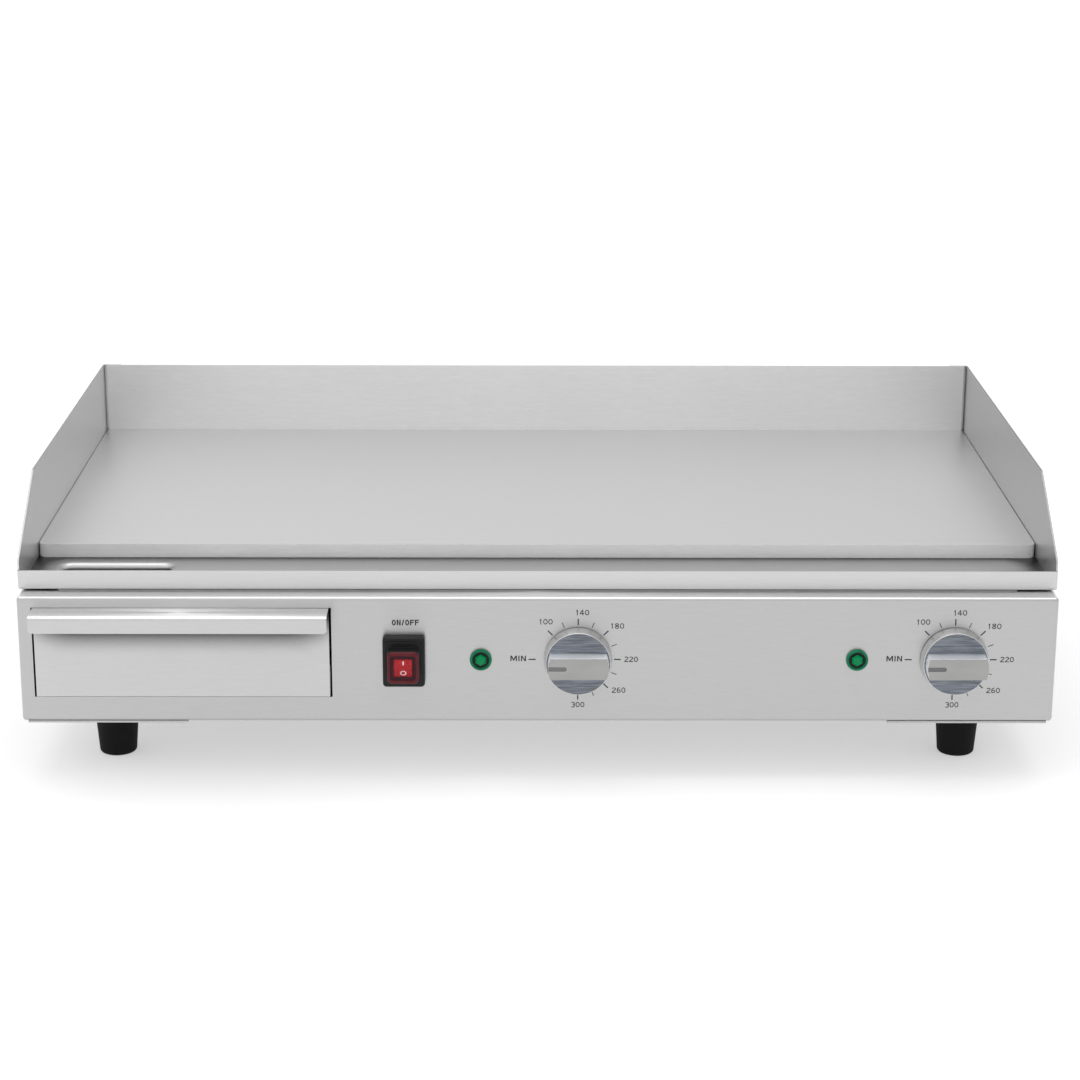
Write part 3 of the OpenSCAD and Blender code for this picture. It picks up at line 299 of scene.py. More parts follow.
LOOKS = {
    # The steel looks' tones and level factors carry painted light: the fascia's top bend, the handle's top
    # and the plate's top get tones of their own, and the plate's front edge is near white.
    "fascia_steel": brushed("fascia_steel", CASING_TONE, "x", stretched=0.7, level=1.7),
    # The drawer front gets a painted shadow under its handle, and the pan gets painted shade in its trough's
    # corners.
    "drawer_steel": brushed("drawer_steel", 0.58, "x", stretched=0.8, level=1.7, shelter=38 * MM,
                            darkest=0.0),
    # The guards' inner faces carry painted light: the left and rear ones are lighter, the right one darker,
    # and their outer sides keep the casing's tone.
    "left_guard_painted_light": brushed("left_guard_painted_light", 0.70, "y", fine=1000, level=0.4, outer=("X", -1)),
    "right_guard_painted_light": brushed("right_guard_painted_light", 0.53, "y", fine=1000, level=0.4, outer=("X", 1)),
    "side_steel": brushed("side_steel", CASING_TONE, "y", stretched=0.7, level=1.7),
    "pan_steel": brushed("pan_steel", 0.61, "x", level=0.70, shelter=25 * MM, darkest=0.1,
                         level_painted_shade=True),
    "rear_guard_painted_light": brushed("rear_guard_painted_light", 0.87, "x", edge=0.12 * MM, outer=("Y", 1)),
    "plate_steel": brushed("plate_steel", 0.98, "x", fine=900, roughness=(0.36, 0.44), contrast=0.015,
                           edge=0.15 * MM, level=0.64, side_rough=0.4),
    "inner_steel": dull_metal("inner_steel", 0.52, 0.42, per_metre=500),
    "zinc": dull_metal("zinc", 0.62, 0.34, tint=(0.98, 0.99, 1.03)),
    "bracket_metal": dull_metal("bracket_metal", 0.66, 0.4),
    "element": dull_metal("element", 0.2, 0.55, tint=(1.05, 0.98, 0.92)),
    "copper": dull_metal("copper", 0.8, 0.32, tint=(1.0, 0.6, 0.44)),
    "brass": dull_metal("brass", 0.78, 0.3, tint=(1.0, 0.8, 0.42)),
    "knob_metal": turned("knob_metal", 0.70, 0.32, (1.0, 0.99, 0.985), stretched=0.4),
    "knob_face": turned("knob_face", 0.19, 0.30, (0.92, 1.0, 1.14), stretched=0.8, contrast=0.3),
    # The grip bar's front takes a grey tone and its sides and top a near-white one: a painted highlight on
    # one metal.
    "knob_grip": turned("knob_grip", 0.36, 0.34, (1.0, 0.995, 0.985), stretched=0.8, contrast=0.02),
    "knob_bar_painted_light": dull_metal("knob_bar_painted_light", 1.0, 0.5, tint=(0.97, 1.0, 1.04), per_metre=1500),
    "ceramic": moulded("ceramic", (0.84, 0.82, 0.76), 0.55, depth=0.08),
    "board": moulded("board", (0.80, 0.77, 0.69), 0.9, per_metre=700, depth=0.3, worn=1.1),
    "rubber": moulded("rubber", (0.003, 0.003, 0.0032), 0.75, per_metre=1100, worn=2.0,
                      Specular_IOR_Level=0.2),
    "seal": moulded("seal", (0.26, 0.26, 0.26), 0.7),
    "black_plastic": moulded("black_plastic", (0.005, 0.0053, 0.0056), 0.45, worn=2.2,
                             Specular_IOR_Level=0.28),
    "pale_plastic": moulded("pale_plastic", (0.78, 0.76, 0.70), 0.4, worn=1.15),
    "lamp_plastic": moulded("lamp_plastic", (0.82, 0.82, 0.80), 0.4, worn=1.1),
    "wire": moulded("wire", (0.55, 0.16, 0.05), 0.5, worn=1.3),
    "marking": moulded("marking", (0.028, 0.028, 0.033), 0.6, per_metre=2500, depth=0.01,
                       Specular_IOR_Level=0.3),
    # The printed marks glow white: painted light.
    "white_mark_painted_glow": glowing("white_mark_painted_glow", (0.85, 0.8, 0.84), (1.0, 0.92, 0.96), 0.35, 0.5, 0.3),
    # The pointer groove's cut faces take a dark grey: painted shade in the groove.
    "groove": moulded("groove", (0.15, 0.15, 0.155), 0.5, per_metre=2500),
    # The sleeve's front rim is dark red as a painted look of the red rocker through clear walls, and its
    # inner band darker as painted shade.
    "boot_border_painted_light": glowing("boot_border_painted_light", (0.08, 0.008, 0.012), (0.5, 0.04, 0.05), 0.02, 0.45, 0.2),
    "boot_band_painted_shade": glowing("boot_band_painted_shade", (0.032, 0.007, 0.011), (0.3, 0.02, 0.03), 0.02, 0.45, 0.15),
    "boot_clear": clear_skin("boot_clear", (0.5, 0.06, 0.07), 0.15, 0.12),
    "red_lit": glowing("red_lit", (0.22, 0.006, 0.010), (0.9, 0.02, 0.03), 0.24, 0.45, 0.15),
    "lamp_rim": glowing("lamp_rim", (0.002, 0.12, 0.055), (0.0, 0.5, 0.22), 0.05, 0.16, 0.2),
    # The lens's hexagonal seat and the core's lower sides are coloured dark as painted shade of the lens's
    # step.
    "lamp_painted_shade": glowing("lamp_painted_shade", (0.001, 0.006, 0.004), (0.0, 0.1, 0.05), 0.01, 0.2, 0.2),
    "lamp_core": glowing("lamp_core", (0.002, 0.10, 0.04), (0.0, 0.40, 0.11), 0.28, 0.12, 0.15),
}

# Which look each carried-over CAD node takes: (look, nodes).
NODE_LOOKS = (
    ("fascia_steel", "front_fascia rear_panel"),
    ("drawer_steel", "drawer_front"),
    ("side_steel", "side_panel_left side_panel_right"),
    ("left_guard_painted_light", "splash_guard_left"),
    ("right_guard_painted_light", "splash_guard_right"),
    ("pan_steel", "top_pan"),
    ("rear_guard_painted_light", "splash_guard_rear"),
    ("plate_steel", "griddle_plate"),
    ("inner_steel", "bottom_cover base_rail_left base_rail_right drawer_guide drawer_box"),
    ("inner_steel", "heat_shield clamp_bars"),
    ("zinc", "foot_screws foot_nuts base_screws plate_studs pan_studs pan_nuts clamp_nuts shield_nuts"),
    ("zinc", "thermostat_screws thermostat_brackets shaft_left shaft_right"),
    ("bracket_metal", "bulb_saddles"),
    ("element", "heating_element_left heating_element_right"),
    ("ceramic", "element_beads"),
    ("board", "insulation_board"),
    ("copper", "sensor_left sensor_right"),
    ("brass", "bonding_stud"),
    ("rubber", "foot_front_left foot_front_right foot_rear_left foot_rear_right"),
    ("seal", "pan_seal"),
    ("black_plastic", "lamp_nuts switch_housing cable_gland gland_locknut"),
    ("pale_plastic", "thermostat_left thermostat_right terminal_block"),
    ("lamp_plastic", "lamp_body_left lamp_body_right"),
    ("wire", "wires"),
)


def dress_cad_nodes():
    """Gives every CAD node that is shown as it is its look."""
    for look, names in NODE_LOOKS:
        for name in names.split():
            mesh = frame["nodes"][name].data
            mesh.materials.clear()
            mesh.materials.append(LOOKS[look])


# ---- Mesh helpers ----


def arc_corner(before, corner, after, radius, steps):
    """Points of the arc that rounds a corner."""
    back, ahead = (before - corner).normalized(), (after - corner).normalized()
    half = back.angle(ahead) / 2
    reach = min(radius / math.tan(half), (before - corner).length / 2, (after - corner).length / 2)
    radius = reach * math.tan(half)
    centre = corner + (back + ahead).normalized() * (radius / math.sin(half))
    start, end = corner + back * reach - centre, corner + ahead * reach - centre
    turn = start.angle_signed(end)
    return [centre + Matrix.Rotation(-turn * i / steps, 2) @ start for i in range(steps + 1)]


def rounded(corners, closed=True, steps=5):
    """An outline from (u, v, radius) corners."""
    points, last = [], len(corners) - 1
    for i, (u, v, radius) in enumerate(corners):
        here = Vector((u, v))
        if radius == 0 or (not closed and i in (0, last)):
            points.append(here)
            continue
        before = Vector(corners[i - 1][:2])
        after = Vector(corners[0 if i == last else i + 1][:2])
        points += arc_corner(before, here, after, radius, steps)
    return points


def rectangle(w, h, radius):
    """A rectangle with round corners, about the origin."""
    corners = ((-w / 2, -h / 2), (w / 2, -h / 2), (w / 2, h / 2), (-w / 2, h / 2))
    return rounded([(u, v, radius) for u, v in corners])


def new_piece(name, bm, looks, body, angle=32):
    """Makes a piece from a bmesh, shades it smooth up to an angle and lets it ride on a body."""
    bmesh.ops.remove_doubles(bm, verts=bm.verts, dist=1e-7)
    bmesh.ops.recalc_face_normals(bm, faces=bm.faces)
    mesh = bpy.data.meshes.new(name)
    bm.to_mesh(mesh)
    bm.free()
    mesh.polygons.foreach_set("use_smooth", [True] * len(mesh.polygons))
    mesh.set_sharp_from_angle(angle=math.radians(angle))
    for look in looks:
        mesh.materials.append(LOOKS[look])
    piece = bpy.data.objects.new(name, mesh)
    scene.collection.objects.link(piece)
    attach(piece, body)
    return piece


def add_prism(bm, outline, centre, near, far, material=0):
    """Extrudes an (x, z) outline along Y, from near to far, about a centre. Returns its faces."""
    rings = [[bm.verts.new((centre.x + p[0], y, centre.z + p[1])) for p in outline] for y in (near, far)]
    faces = [bm.faces.new(rings[0]), bm.faces.new(rings[1][::-1])]
    count = len(outline)
    for i in range(count):
        j = (i + 1) % count
        faces.append(bm.faces.new((rings[0][i], rings[1][i], rings[1][j], rings[0][j])))
    for face in faces:
        face.material_index = material
    return faces


def add_rings(bm, outlines, centre, materials, close=True):
    """Joins (outline, y) rings in turn. Closes the last ring onto the first, or caps both ends."""
    rings = [
        [bm.verts.new((centre.x + p[0], y, centre.z + p[1])) for p in outline] for outline, y in outlines
    ]
    count, pairs = len(rings[0]), len(rings) if close else len(rings) - 1
    for k in range(pairs):
        first, second = rings[k], rings[(k + 1) % len(rings)]
        for i in range(count):
            j = (i + 1) % count
            face = bm.faces.new((first[i], second[i], second[j], first[j]))
            face.material_index = materials[k]
    if not close:
        bm.faces.new(rings[0])
        bm.faces.new(rings[-1][::-1]).material_index = materials[-1]


def add_lathe(bm, profile, centre, face_y, materials=None, segments=96):
    """Turns a (radius, depth) profile about Y. Depth runs out of the fascia, towards the front."""
    rings = []
    for radius, depth in profile:
        count = 1 if radius == 0 else segments
        angles = [2 * math.pi * i / segments for i in range(count)]
        rings.append([
            bm.verts.new((centre.x + radius * math.cos(a), face_y - depth, centre.z + radius * math.sin(a)))
            for a in angles
        ])
    for k, (first, second) in enumerate(zip(rings, rings[1:])):
        for i in range(segments):
            j = (i + 1) % segments
            corners = [
                first[i % len(first)], second[i % len(second)], second[j % len(second)], first[j % len(first)]
            ]
            unique = [v for n, v in enumerate(corners) if v not in corners[:n]]
            face = bm.faces.new(unique)
            face.material_index = materials[k] if materials else 0


def bevel(piece, width, segments=3, angle=40):
    """Rounds the edges of a piece that are sharper than an angle."""
    modifier = piece.modifiers.new("edges", "BEVEL")
    modifier.width, modifier.segments = width, segments
    modifier.limit_method, modifier.angle_limit = "ANGLE", math.radians(angle)
    modifier.harden_normals = True
    modifier.use_clamp_overlap = True


def middle(node):
    """The middle of a CAD node's box."""
    low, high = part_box(node)
    return (low + high) / 2


# ---- Dials ----

FASCIA_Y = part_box("front_fascia")[0].y
PRINT_T = 0.03 * MM
PRINT_Y = FASCIA_Y - PRINT_T
PRINT_BACK = FASCIA_Y + PRINT_T


def bar(u0, v0, u1, v1):
    """A sharp rectangle from corner to corner."""
    return [(u0, v0), (u1, v0), (u1, v1), (u0, v1)]


def loop(u, v, half_u, half_v, start=0, end=360, steps=24):
    """Points of an oval or of a part of it."""
    angles = [math.radians(start + (end - start) * i / steps) for i in range(steps + 1)]
    return [(u + half_u * math.cos(a), v + half_v * math.sin(a)) for a in angles]


def ribbon(path, half):
    """The outline of a line of even width along a path."""
    path = [Vector(p) for p in path]
    left, right = [], []
    for i, here in enumerate(path):
        back = (here - path[i - 1]).normalized() if i else (path[1] - here).normalized()
        ahead = (path[i + 1] - here).normalized() if i < len(path) - 1 else back
        side = (back + ahead).normalized()
        across = Vector((-side.y, side.x)) * half / max(0.6, side.dot(ahead))
        left.append(here + across)
        right.append(here - across)
    return left + right[::-1]


def glyph(sign, w, h, s):
    """A sign as flat outlines that only touch, in a box w by h, drawn with lines s wide."""
    half = s / 2
    mid = h * 0.52
    if sign == "1":
        return [bar(w / 2 - half, 0, w / 2 + half, h),
                [(w / 2 - half, h), (w * 0.14, h * 0.80), (w * 0.14, h * 0.66), (w / 2 - half, h * 0.80)]]
    if sign == "2":
        arc = loop(w / 2, h * 0.72, w / 2 - half, h * 0.28 - half, 165, -25, 14)
        return [ribbon(arc + [(half, s)], half), bar(0, 0, w, s)]
    if sign == "3":
        upper = loop(w / 2, (mid + h) / 2, w / 2 - half, (h - mid) / 2, 150, -90, 16)
        lower = loop(w / 2, mid / 2, w / 2 - half, mid / 2, 90, -150, 16)
        upper = [(u, v - half) for u, v in upper]
        lower = [(u, v + half * 0.2) for u, v in lower]
        return [ribbon(upper, half), ribbon(lower, half)]
    if sign == "4":
        stem, low = w * 0.68, h * 0.22
        return [bar(stem - half, 0, stem + half, h), bar(0, low, stem - half, low + s),
                bar(stem + half, low, w, low + s),
                [(0, low + s), (s * 1.3, low + s), (stem - half, h - s * 1.4), (stem - half, h)]]
    if sign == "6":
        arc = loop(w * 0.62, h * 0.42, w * 0.62 - half, h * 0.58 - half, 75, 165, 10)
        return [("ring", w / 2, h * 0.31, w / 2, h * 0.31), ribbon(arc, half)]
    if sign == "8":
        upper = ("ring", w / 2, (h + mid) / 2, w * 0.46, (h - mid) / 2)
        return [("ring", w / 2, mid / 2, w / 2, mid / 2), upper]
    if sign in "0O":
        return [("ring", w / 2, h / 2, w / 2, h / 2)]
    if sign == "I":
        return [bar(w / 2 - half, 0, w / 2 + half, h)]
    if sign == "F":
        low, arm = h * 0.42, w * 0.9
        return [[(0, 0), (s, 0), (s, low), (arm, low), (arm, low + s), (s, low + s), (s, h - s), (w, h - s),
                 (w, h), (0, h)]]
    if sign == "/":
        return [[(0, 0), (s, 0), (w, h), (w - s, h)]]
    if sign == "N":
        return [[(0, 0), (s, 0), (s, h - 1.5 * s), (w - 1.1 * s, 0), (w, 0), (w, h), (w - s, h),
                 (w - s, 1.5 * s), (1.1 * s, h), (0, h)]]
    return [[(0, 0), (s, 0), (s, h * 0.66), (w / 2 - s * 0.45, h * 0.1), (w / 2 + s * 0.45, h * 0.1),
             (w - s, h * 0.66), (w - s, 0), (w, 0), (w, h), (w - s * 1.2, h), (w / 2, h * 0.42),
             (s * 1.2, h), (0, h)]]


def add_print(bm, text, x, z, height, width, line, space=0.45 * MM):
    """Prints a word or number, centred at x and z, in a box of a given height and width."""
    shares = [{"1": 0.8, "I": 0.45, "/": 0.7, "M": 1.3}.get(sign, 1.0) for sign in text]
    unit = (width - space * (len(text) - 1)) / sum(shares)
    left = x - width / 2
    for sign, share in zip(text, shares):
        w, corner = unit * share, Vector((left, 0, z - height / 2))
        for shape in glyph(sign, w, height, line):
            if shape[0] == "ring":
                _, u, v, half_u, half_v = shape
                outer = [Vector(p) for p in loop(u, v, half_u, half_v)[:-1]]
                inner = [Vector(p) for p in loop(u, v, half_u - line, half_v - line)[:-1]]
                layers = [(outer, PRINT_BACK), (outer, PRINT_Y), (inner, PRINT_Y), (inner, PRINT_BACK)]
                add_rings(bm, layers, corner, [0] * 4)
            else:
                add_prism(bm, [Vector(p) for p in shape], corner, PRINT_Y, PRINT_BACK)
        left += w + space


def add_stroke(bm, centre, angle, inner, outer, width):
    """A printed dash that points away from a centre. The angle is in degrees from +X towards +Z."""
    turn = Matrix.Rotation(math.radians(angle), 2)
    corners = ((inner, -width / 2), (outer, -width / 2), (outer, width / 2), (inner, width / 2))
    add_prism(bm, [turn @ Vector(c) for c in corners], centre, PRINT_Y, PRINT_BACK)


# Dial numbers: text, x and z from the dial's centre in millimetres.
DIAL_NUMBERS = (
    ("100", -22.7, 27.9),
    ("140", 2.9, 34.7),
    ("180", 27.5, 24.8),
    ("220", 37.5, 0.1),
    ("260", 28.9, -23.0),
    ("300", 0.0, -33.8),
)
NUMBER_H = 4.0 * MM
NUMBER_W = 9.6 * MM
NUMBER_LINE = 0.62 * MM
TICK_IN = 25.4 * MM
TICK_OUT = 30.1 * MM
LONG_TICK_W = 0.9 * MM
SHORT_TICK_W = 0.55 * MM


def dial_marks(side):
    """Printed numbers and ticks round a dial."""
    centre = middle(f"shaft_{side}")
    bm = bmesh.new()
    for text, x, z in DIAL_NUMBERS:
        add_print(bm, text, centre.x + x * MM, centre.z + z * MM, NUMBER_H, NUMBER_W, NUMBER_LINE)
    add_print(bm, "MIN", centre.x - 42.1 * MM, centre.z + 0.7 * MM, height=4.1 * MM, width=11 * MM,
              line=0.85 * MM, space=0.6 * MM)
    for angle in range(-90, 136, 45):
        add_stroke(bm, centre, angle, TICK_IN, TICK_OUT, LONG_TICK_W)
    for angle in (112.5, 67.5, 22.5, -22.5, -67.5):
        add_stroke(bm, centre, angle, TICK_IN, TICK_OUT - 0.6 * MM, SHORT_TICK_W)
    add_stroke(bm, centre, 180, 29.8 * MM, 34.8 * MM, LONG_TICK_W)
    new_piece(f"dial_marks_{side}", bm, ["marking"], "casing")


def knob(side):
    """A hollow turned knob with a dark face, a grip bar and a pointer groove in the bar's left end."""
    node = f"knob_{side}"
    low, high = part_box(node)
    centre = middle(node)
    shaft_r, bore_d = 3.06 * MM, 10 * MM
    skirt_r = (high.x - low.x) / 2 - 0.02 * MM
    back = FASCIA_Y - high.y
    front = FASCIA_Y - low.y
    face_r, bar_r = 22.8 * MM, 21.3 * MM
    face_d = 10.5 * MM
    bar_half = 7.8 * MM
    hub_r, cavity_r, cavity = 6.5 * MM, 18.5 * MM, back + 6 * MM
    profile = rounded([
        (shaft_r, bore_d, 0), (shaft_r, back, 0), (hub_r, back, 0.3 * MM), (hub_r, cavity, 0.5 * MM),
        (cavity_r, cavity, 1 * MM), (cavity_r, back, 0.3 * MM), (skirt_r, back, 0.5 * MM),
        (skirt_r, back + 1.6 * MM, 0.6 * MM), (face_r, face_d, 0.4 * MM), (0, face_d, 0)
    ], closed=False)
    profile = [Vector((0, bore_d))] + profile
    faces = [1 if min(a.y, b.y) > face_d - 0.01 * MM else 0 for a, b in zip(profile, profile[1:])]
    bm = bmesh.new()
    add_lathe(bm, profile, centre, FASCIA_Y, faces, 128)
    piece = new_piece(node + "_cap", bm, ["knob_metal", "knob_face"], f"{side}_dial")
    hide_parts(node)

    edge_a = math.asin(bar_half / bar_r)
    chord = [bar_r * Vector((math.cos(edge_a * t / 8), math.sin(edge_a * t / 8))) for t in range(-8, 9)]
    outline = chord + [-p for p in chord]
    groove_half, groove_end, groove_d = 1.45 * MM, 11.5 * MM, 0.6 * MM
    cut = [Vector((-bar_r - 1 * MM, -groove_half)), Vector((-bar_r - 1 * MM, groove_half))]
    round_end = [math.radians(90 - 180 * t / 10) for t in range(11)]
    tip = Vector((-bar_r + groove_end, 0))
    cut += [tip + groove_half * Vector((math.cos(a), math.sin(a))) for a in round_end]
    bm = bmesh.new()
    faces = add_prism(bm, outline, centre, FASCIA_Y - front + 0.02 * MM, FASCIA_Y - face_d + 0.3 * MM)
    for face in faces[2:]:
        face.material_index = 2
    # The bar's sides and top take a near-white tone, a painted highlight.
    grip = new_piece(node + "_grip", bm, ["knob_grip", "groove", "knob_bar_painted_light"], f"{side}_dial")
    bm = bmesh.new()
    # The cut faces take the dark groove look, painted shade in the groove.
    add_prism(bm, cut, centre, FASCIA_Y - front - 1 * MM, FASCIA_Y - front + groove_d, 1)
    carve(grip, bm)
    bevel(grip, 0.55 * MM, 4)


def carve(piece, bm):
    """Cuts a shape out of a piece, in its mesh."""
    bmesh.ops.recalc_face_normals(bm, faces=bm.faces)
    mesh = bpy.data.meshes.new("cutter")
    bm.to_mesh(mesh)
    bm.free()
    for material in piece.data.materials:
        mesh.materials.append(material)
    cutter = bpy.data.objects.new("cutter", mesh)
    scene.collection.objects.link(cutter)
    modifier = piece.modifiers.new("cut", "BOOLEAN")
    modifier.object, modifier.operation, modifier.solver = cutter, "DIFFERENCE", "EXACT"
    bpy.context.view_layer.update()
    carved = bpy.data.meshes.new_from_object(piece.evaluated_get(bpy.context.evaluated_depsgraph_get()))
    piece.modifiers.remove(modifier)
    piece.data = carved
    bpy.data.objects.remove(cutter)


# ---- Lamps ----


def lamp(side):
    """A green lens: a rounded rim, a hexagonal seat coloured dark as painted shade, and a faceted core that
    glows.
    """
    node = f"lamp_lens_{side}"
    low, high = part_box(node)
    centre = middle(node)
    rim_r = (high.x - low.x) / 2 - 0.02 * MM
    seat_r, core_r = 6.0 * MM, 4.3 * MM
    tip = FASCIA_Y - low.y - 0.05 * MM
    rim_h, seat = 2.6 * MM, 1.2 * MM
    profile = rounded([
        (rim_r, 0, 0), (rim_r, rim_h - 0.6 * MM, 0.7 * MM), (rim_r - 0.9 * MM, rim_h, 0.6 * MM),
        (seat_r + 0.1 * MM, rim_h, 0.4 * MM), (seat_r - 0.2 * MM, seat, 0), (0, seat, 0)
    ], closed=False)
    profile = [Vector((0, 0))] + profile
    kinds = [
        1 if max(a.x, b.x) < seat_r and min(a.y, b.y) > seat - 0.01 * MM else 0
        for a, b in zip(profile, profile[1:])
    ]
    bm = bmesh.new()
    add_lathe(bm, profile, centre, FASCIA_Y, kinds, 72)
    rim = new_piece(node + "_rim", bm, ["lamp_rim", "lamp_painted_shade"], "casing")
    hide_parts(node)

    def hexagon(radius, turn=30.0, sides=6):
        return [radius * Vector((math.cos(a), math.sin(a)))
                for a in (math.radians(turn + 360 * i / sides) for i in range(sides))]

    bm = bmesh.new()
    layers = [
        (hexagon(core_r), FASCIA_Y - seat + 0.1 * MM), (hexagon(core_r), FASCIA_Y - seat - 0.9 * MM),
        (hexagon(core_r * 0.72), FASCIA_Y - tip + 0.8 * MM), (hexagon(core_r * 0.3, 60), FASCIA_Y - tip)
    ]
    add_rings(bm, layers, centre, [1, 0, 0, 0], close=False)
    new_piece(node + "_core", bm, ["lamp_core", "lamp_painted_shade"], "casing", angle=5)


# ---- Switch ----


def switch():
    """Frame, sleeve, clear window and red rocker of the covered power switch."""
    low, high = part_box("switch_frame")
    centre, face = middle("switch_frame"), low.y
    size = high - low
    sleeve_low, sleeve_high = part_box("switch_boot")
    wide, tall, tip = 22.3 * MM, 23.6 * MM, sleeve_low.y
    hole_w, hole_h = 19.7 * MM, 21.7 * MM

    bm = bmesh.new()
    outer, inner = rectangle(size.x, size.z, 2.6 * MM), rectangle(hole_w, hole_h, 1.2 * MM)
    lip = rectangle(size.x - 1.6 * MM, size.z - 1.6 * MM, 1.9 * MM)
    well = rectangle(sleeve_high.x - sleeve_low.x + 0.5 * MM, sleeve_high.z - sleeve_low.z + 0.5 * MM, 2 * MM)
    mid = FASCIA_Y - 1.2 * MM
    layers = [
        (outer, FASCIA_Y), (outer, mid), (outer, face + 1.4 * MM), (lip, face + 0.15 * MM),
        (well, face), (inner, face), (inner, FASCIA_Y)
    ]
    add_rings(bm, layers, centre, [0] * len(layers))
    frame_piece = new_piece("switch_bezel", bm, ["black_plastic"], "casing", angle=45)
    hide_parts("switch_frame")
    bevel(frame_piece, 0.35 * MM, 3, angle=20)

    wall = 1.1 * MM
    outer, core = rectangle(wide, tall, 3.4 * MM), rectangle(wide - 2 * wall, tall - 2 * wall, 2.4 * MM)
    flange = rectangle(sleeve_high.x - sleeve_low.x, sleeve_high.z - sleeve_low.z, 2.4 * MM)
    nose = rectangle(wide - 1.4 * MM, tall - 1.4 * MM, 3.0 * MM)
    band, gap_side = rectangle(17.8 * MM, 18.0 * MM, 2.2 * MM), rectangle(17.2 * MM, 17.4 * MM, 1.9 * MM)
    window_w, window_play, window_r = 12.6 * MM, 0.04 * MM, 0.8 * MM
    window = rectangle(window_w, window_w, window_r)
    layers = [
        (core, face), (flange, face), (flange, face - 1.2 * MM), (outer, face - 1.2 * MM),
        (outer, tip + 1.6 * MM), (nose, tip + 0.25 * MM), (band, tip + 0.1 * MM), (gap_side, tip + 0.8 * MM),
        (window, tip + 0.8 * MM), (window, tip + 1.7 * MM), (core, tip + 1.9 * MM)
    ]
    bm = bmesh.new()
    add_rings(bm, layers, centre, [0, 0, 0, 0, 1, 1, 2, 2, 2, 2, 2])
    # Painted light: the front rim takes the dark red look and the inner band the darker one.
    sleeve_looks = ["black_plastic", "boot_border_painted_light", "boot_band_painted_shade"]
    sleeve = new_piece("switch_sleeve", bm, sleeve_looks, "casing", angle=45)
    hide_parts("switch_boot")
    bevel(sleeve, 0.3 * MM, 3, angle=22)

    pane = rectangle(window_w - window_play, window_w - window_play, window_r)
    bm = bmesh.new()
    add_prism(bm, pane, centre, tip + 1.0 * MM, tip + 1.5 * MM)
    new_piece("switch_window", bm, ["boot_clear"], "casing")
    rocker()


def rocker():
    """The red rocker at rest, tilted as the CAD one is, with its two marks on the front."""
    joint = next(j for j in frame["joints"] if j["name"] == "rocker_press")
    pivot = Vector(joint["pos_m"])
    tilt = Matrix.Rotation(math.radians(joint["range_deg"][1] / 2), 3, "X")
    half_w, half_h, front = 7.2 * MM, 9 * MM, 8 * MM
    section = rounded([
        (-front, half_h, 0.9 * MM), (-front + 1.0 * MM, 0, 9 * MM), (-front, -half_h, 0.9 * MM),
        (0, -half_h, 0.4 * MM), (4 * MM, -3 * MM, 0.5 * MM), (4 * MM, 3 * MM, 0.5 * MM), (0, half_h, 0.4 * MM)
    ])
    bm = bmesh.new()
    rings = [
        [bm.verts.new(pivot + tilt @ Vector((x, p[0], p[1]))) for p in section] for x in (-half_w, half_w)
    ]
    bm.faces.new(rings[0])
    bm.faces.new(rings[1][::-1])
    for i in range(len(section)):
        j = (i + 1) % len(section)
        bm.faces.new((rings[0][i], rings[1][i], rings[1][j], rings[0][j]))
    pin_r, pin_out, pin_sides = 1.2 * MM, 1.5 * MM, 24
    for side in (-1, 1):
        ends = [side * half_w, side * (half_w + pin_out)]
        pins = [[bm.verts.new(pivot + Vector((x, pin_r * math.cos(a), pin_r * math.sin(a))))
                 for a in (2 * math.pi * k / pin_sides for k in range(pin_sides))] for x in ends]
        bm.faces.new(pins[0])
        bm.faces.new(pins[1][::-1])
        for i in range(pin_sides):
            j = (i + 1) % pin_sides
            bm.faces.new((pins[0][i], pins[1][i], pins[1][j], pins[0][j]))
    body = new_piece("rocker_button", bm, ["red_lit"], "rocker")
    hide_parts("switch_rocker")
    bevel(body, 0.4 * MM, 3, angle=50)

    bm = bmesh.new()
    dish_out, dish_run = 7 * MM, 9

    def on_face(u, v, lift):
        """A point on the dished front, or lifted off it. The dish rises by one in dish_run."""
        return bm.verts.new(pivot + tilt @ Vector((u, -dish_out - abs(v) / dish_run - lift, v)))

    sunk, raised = -0.3 * MM, 0.12 * MM
    outlines = [(bar(-0.45 * MM, 1.4 * MM, 0.45 * MM, 4.6 * MM), None)]
    oval_sides, oval_v, oval_height = 40, -4.6 * MM, 0.75
    circle = [2 * math.pi * k / oval_sides for k in range(oval_sides)]
    outer, inner = [
        [(r * math.cos(a), oval_v + oval_height * r * math.sin(a)) for a in circle]
        for r in (2.2 * MM, 1.4 * MM)
    ]
    outlines.append((outer, inner))
    for edge, hole in outlines:
        loops = [[on_face(u, v, sunk) for u, v in edge], [on_face(u, v, raised) for u, v in edge]]
        if hole:
            loops += [[on_face(u, v, raised) for u, v in hole], [on_face(u, v, sunk) for u, v in hole]]
        else:
            bm.faces.new(loops[0])
            bm.faces.new(loops[1][::-1])
        for k in range(len(loops) if hole else 1):
            first, second = loops[k], loops[(k + 1) % len(loops)]
            for i in range(len(edge)):
                j = (i + 1) % len(edge)
                bm.faces.new((first[i], second[i], second[j], first[j]))
    # The marks glow white, painted light.
    new_piece("rocker_marks", bm, ["white_mark_painted_glow"], "rocker")


def switch_label():
    """The generic on/off word above the switch."""
    centre = middle("switch_frame")
    bm = bmesh.new()
    add_print(bm, "ON/OFF", centre.x + 1.2 * MM, 118.7 * MM, height=4.2 * MM, width=19 * MM,
              line=0.9 * MM, space=0.55 * MM)
    new_piece("switch_label", bm, ["marking"], "casing")


# ---- Rear gland ----


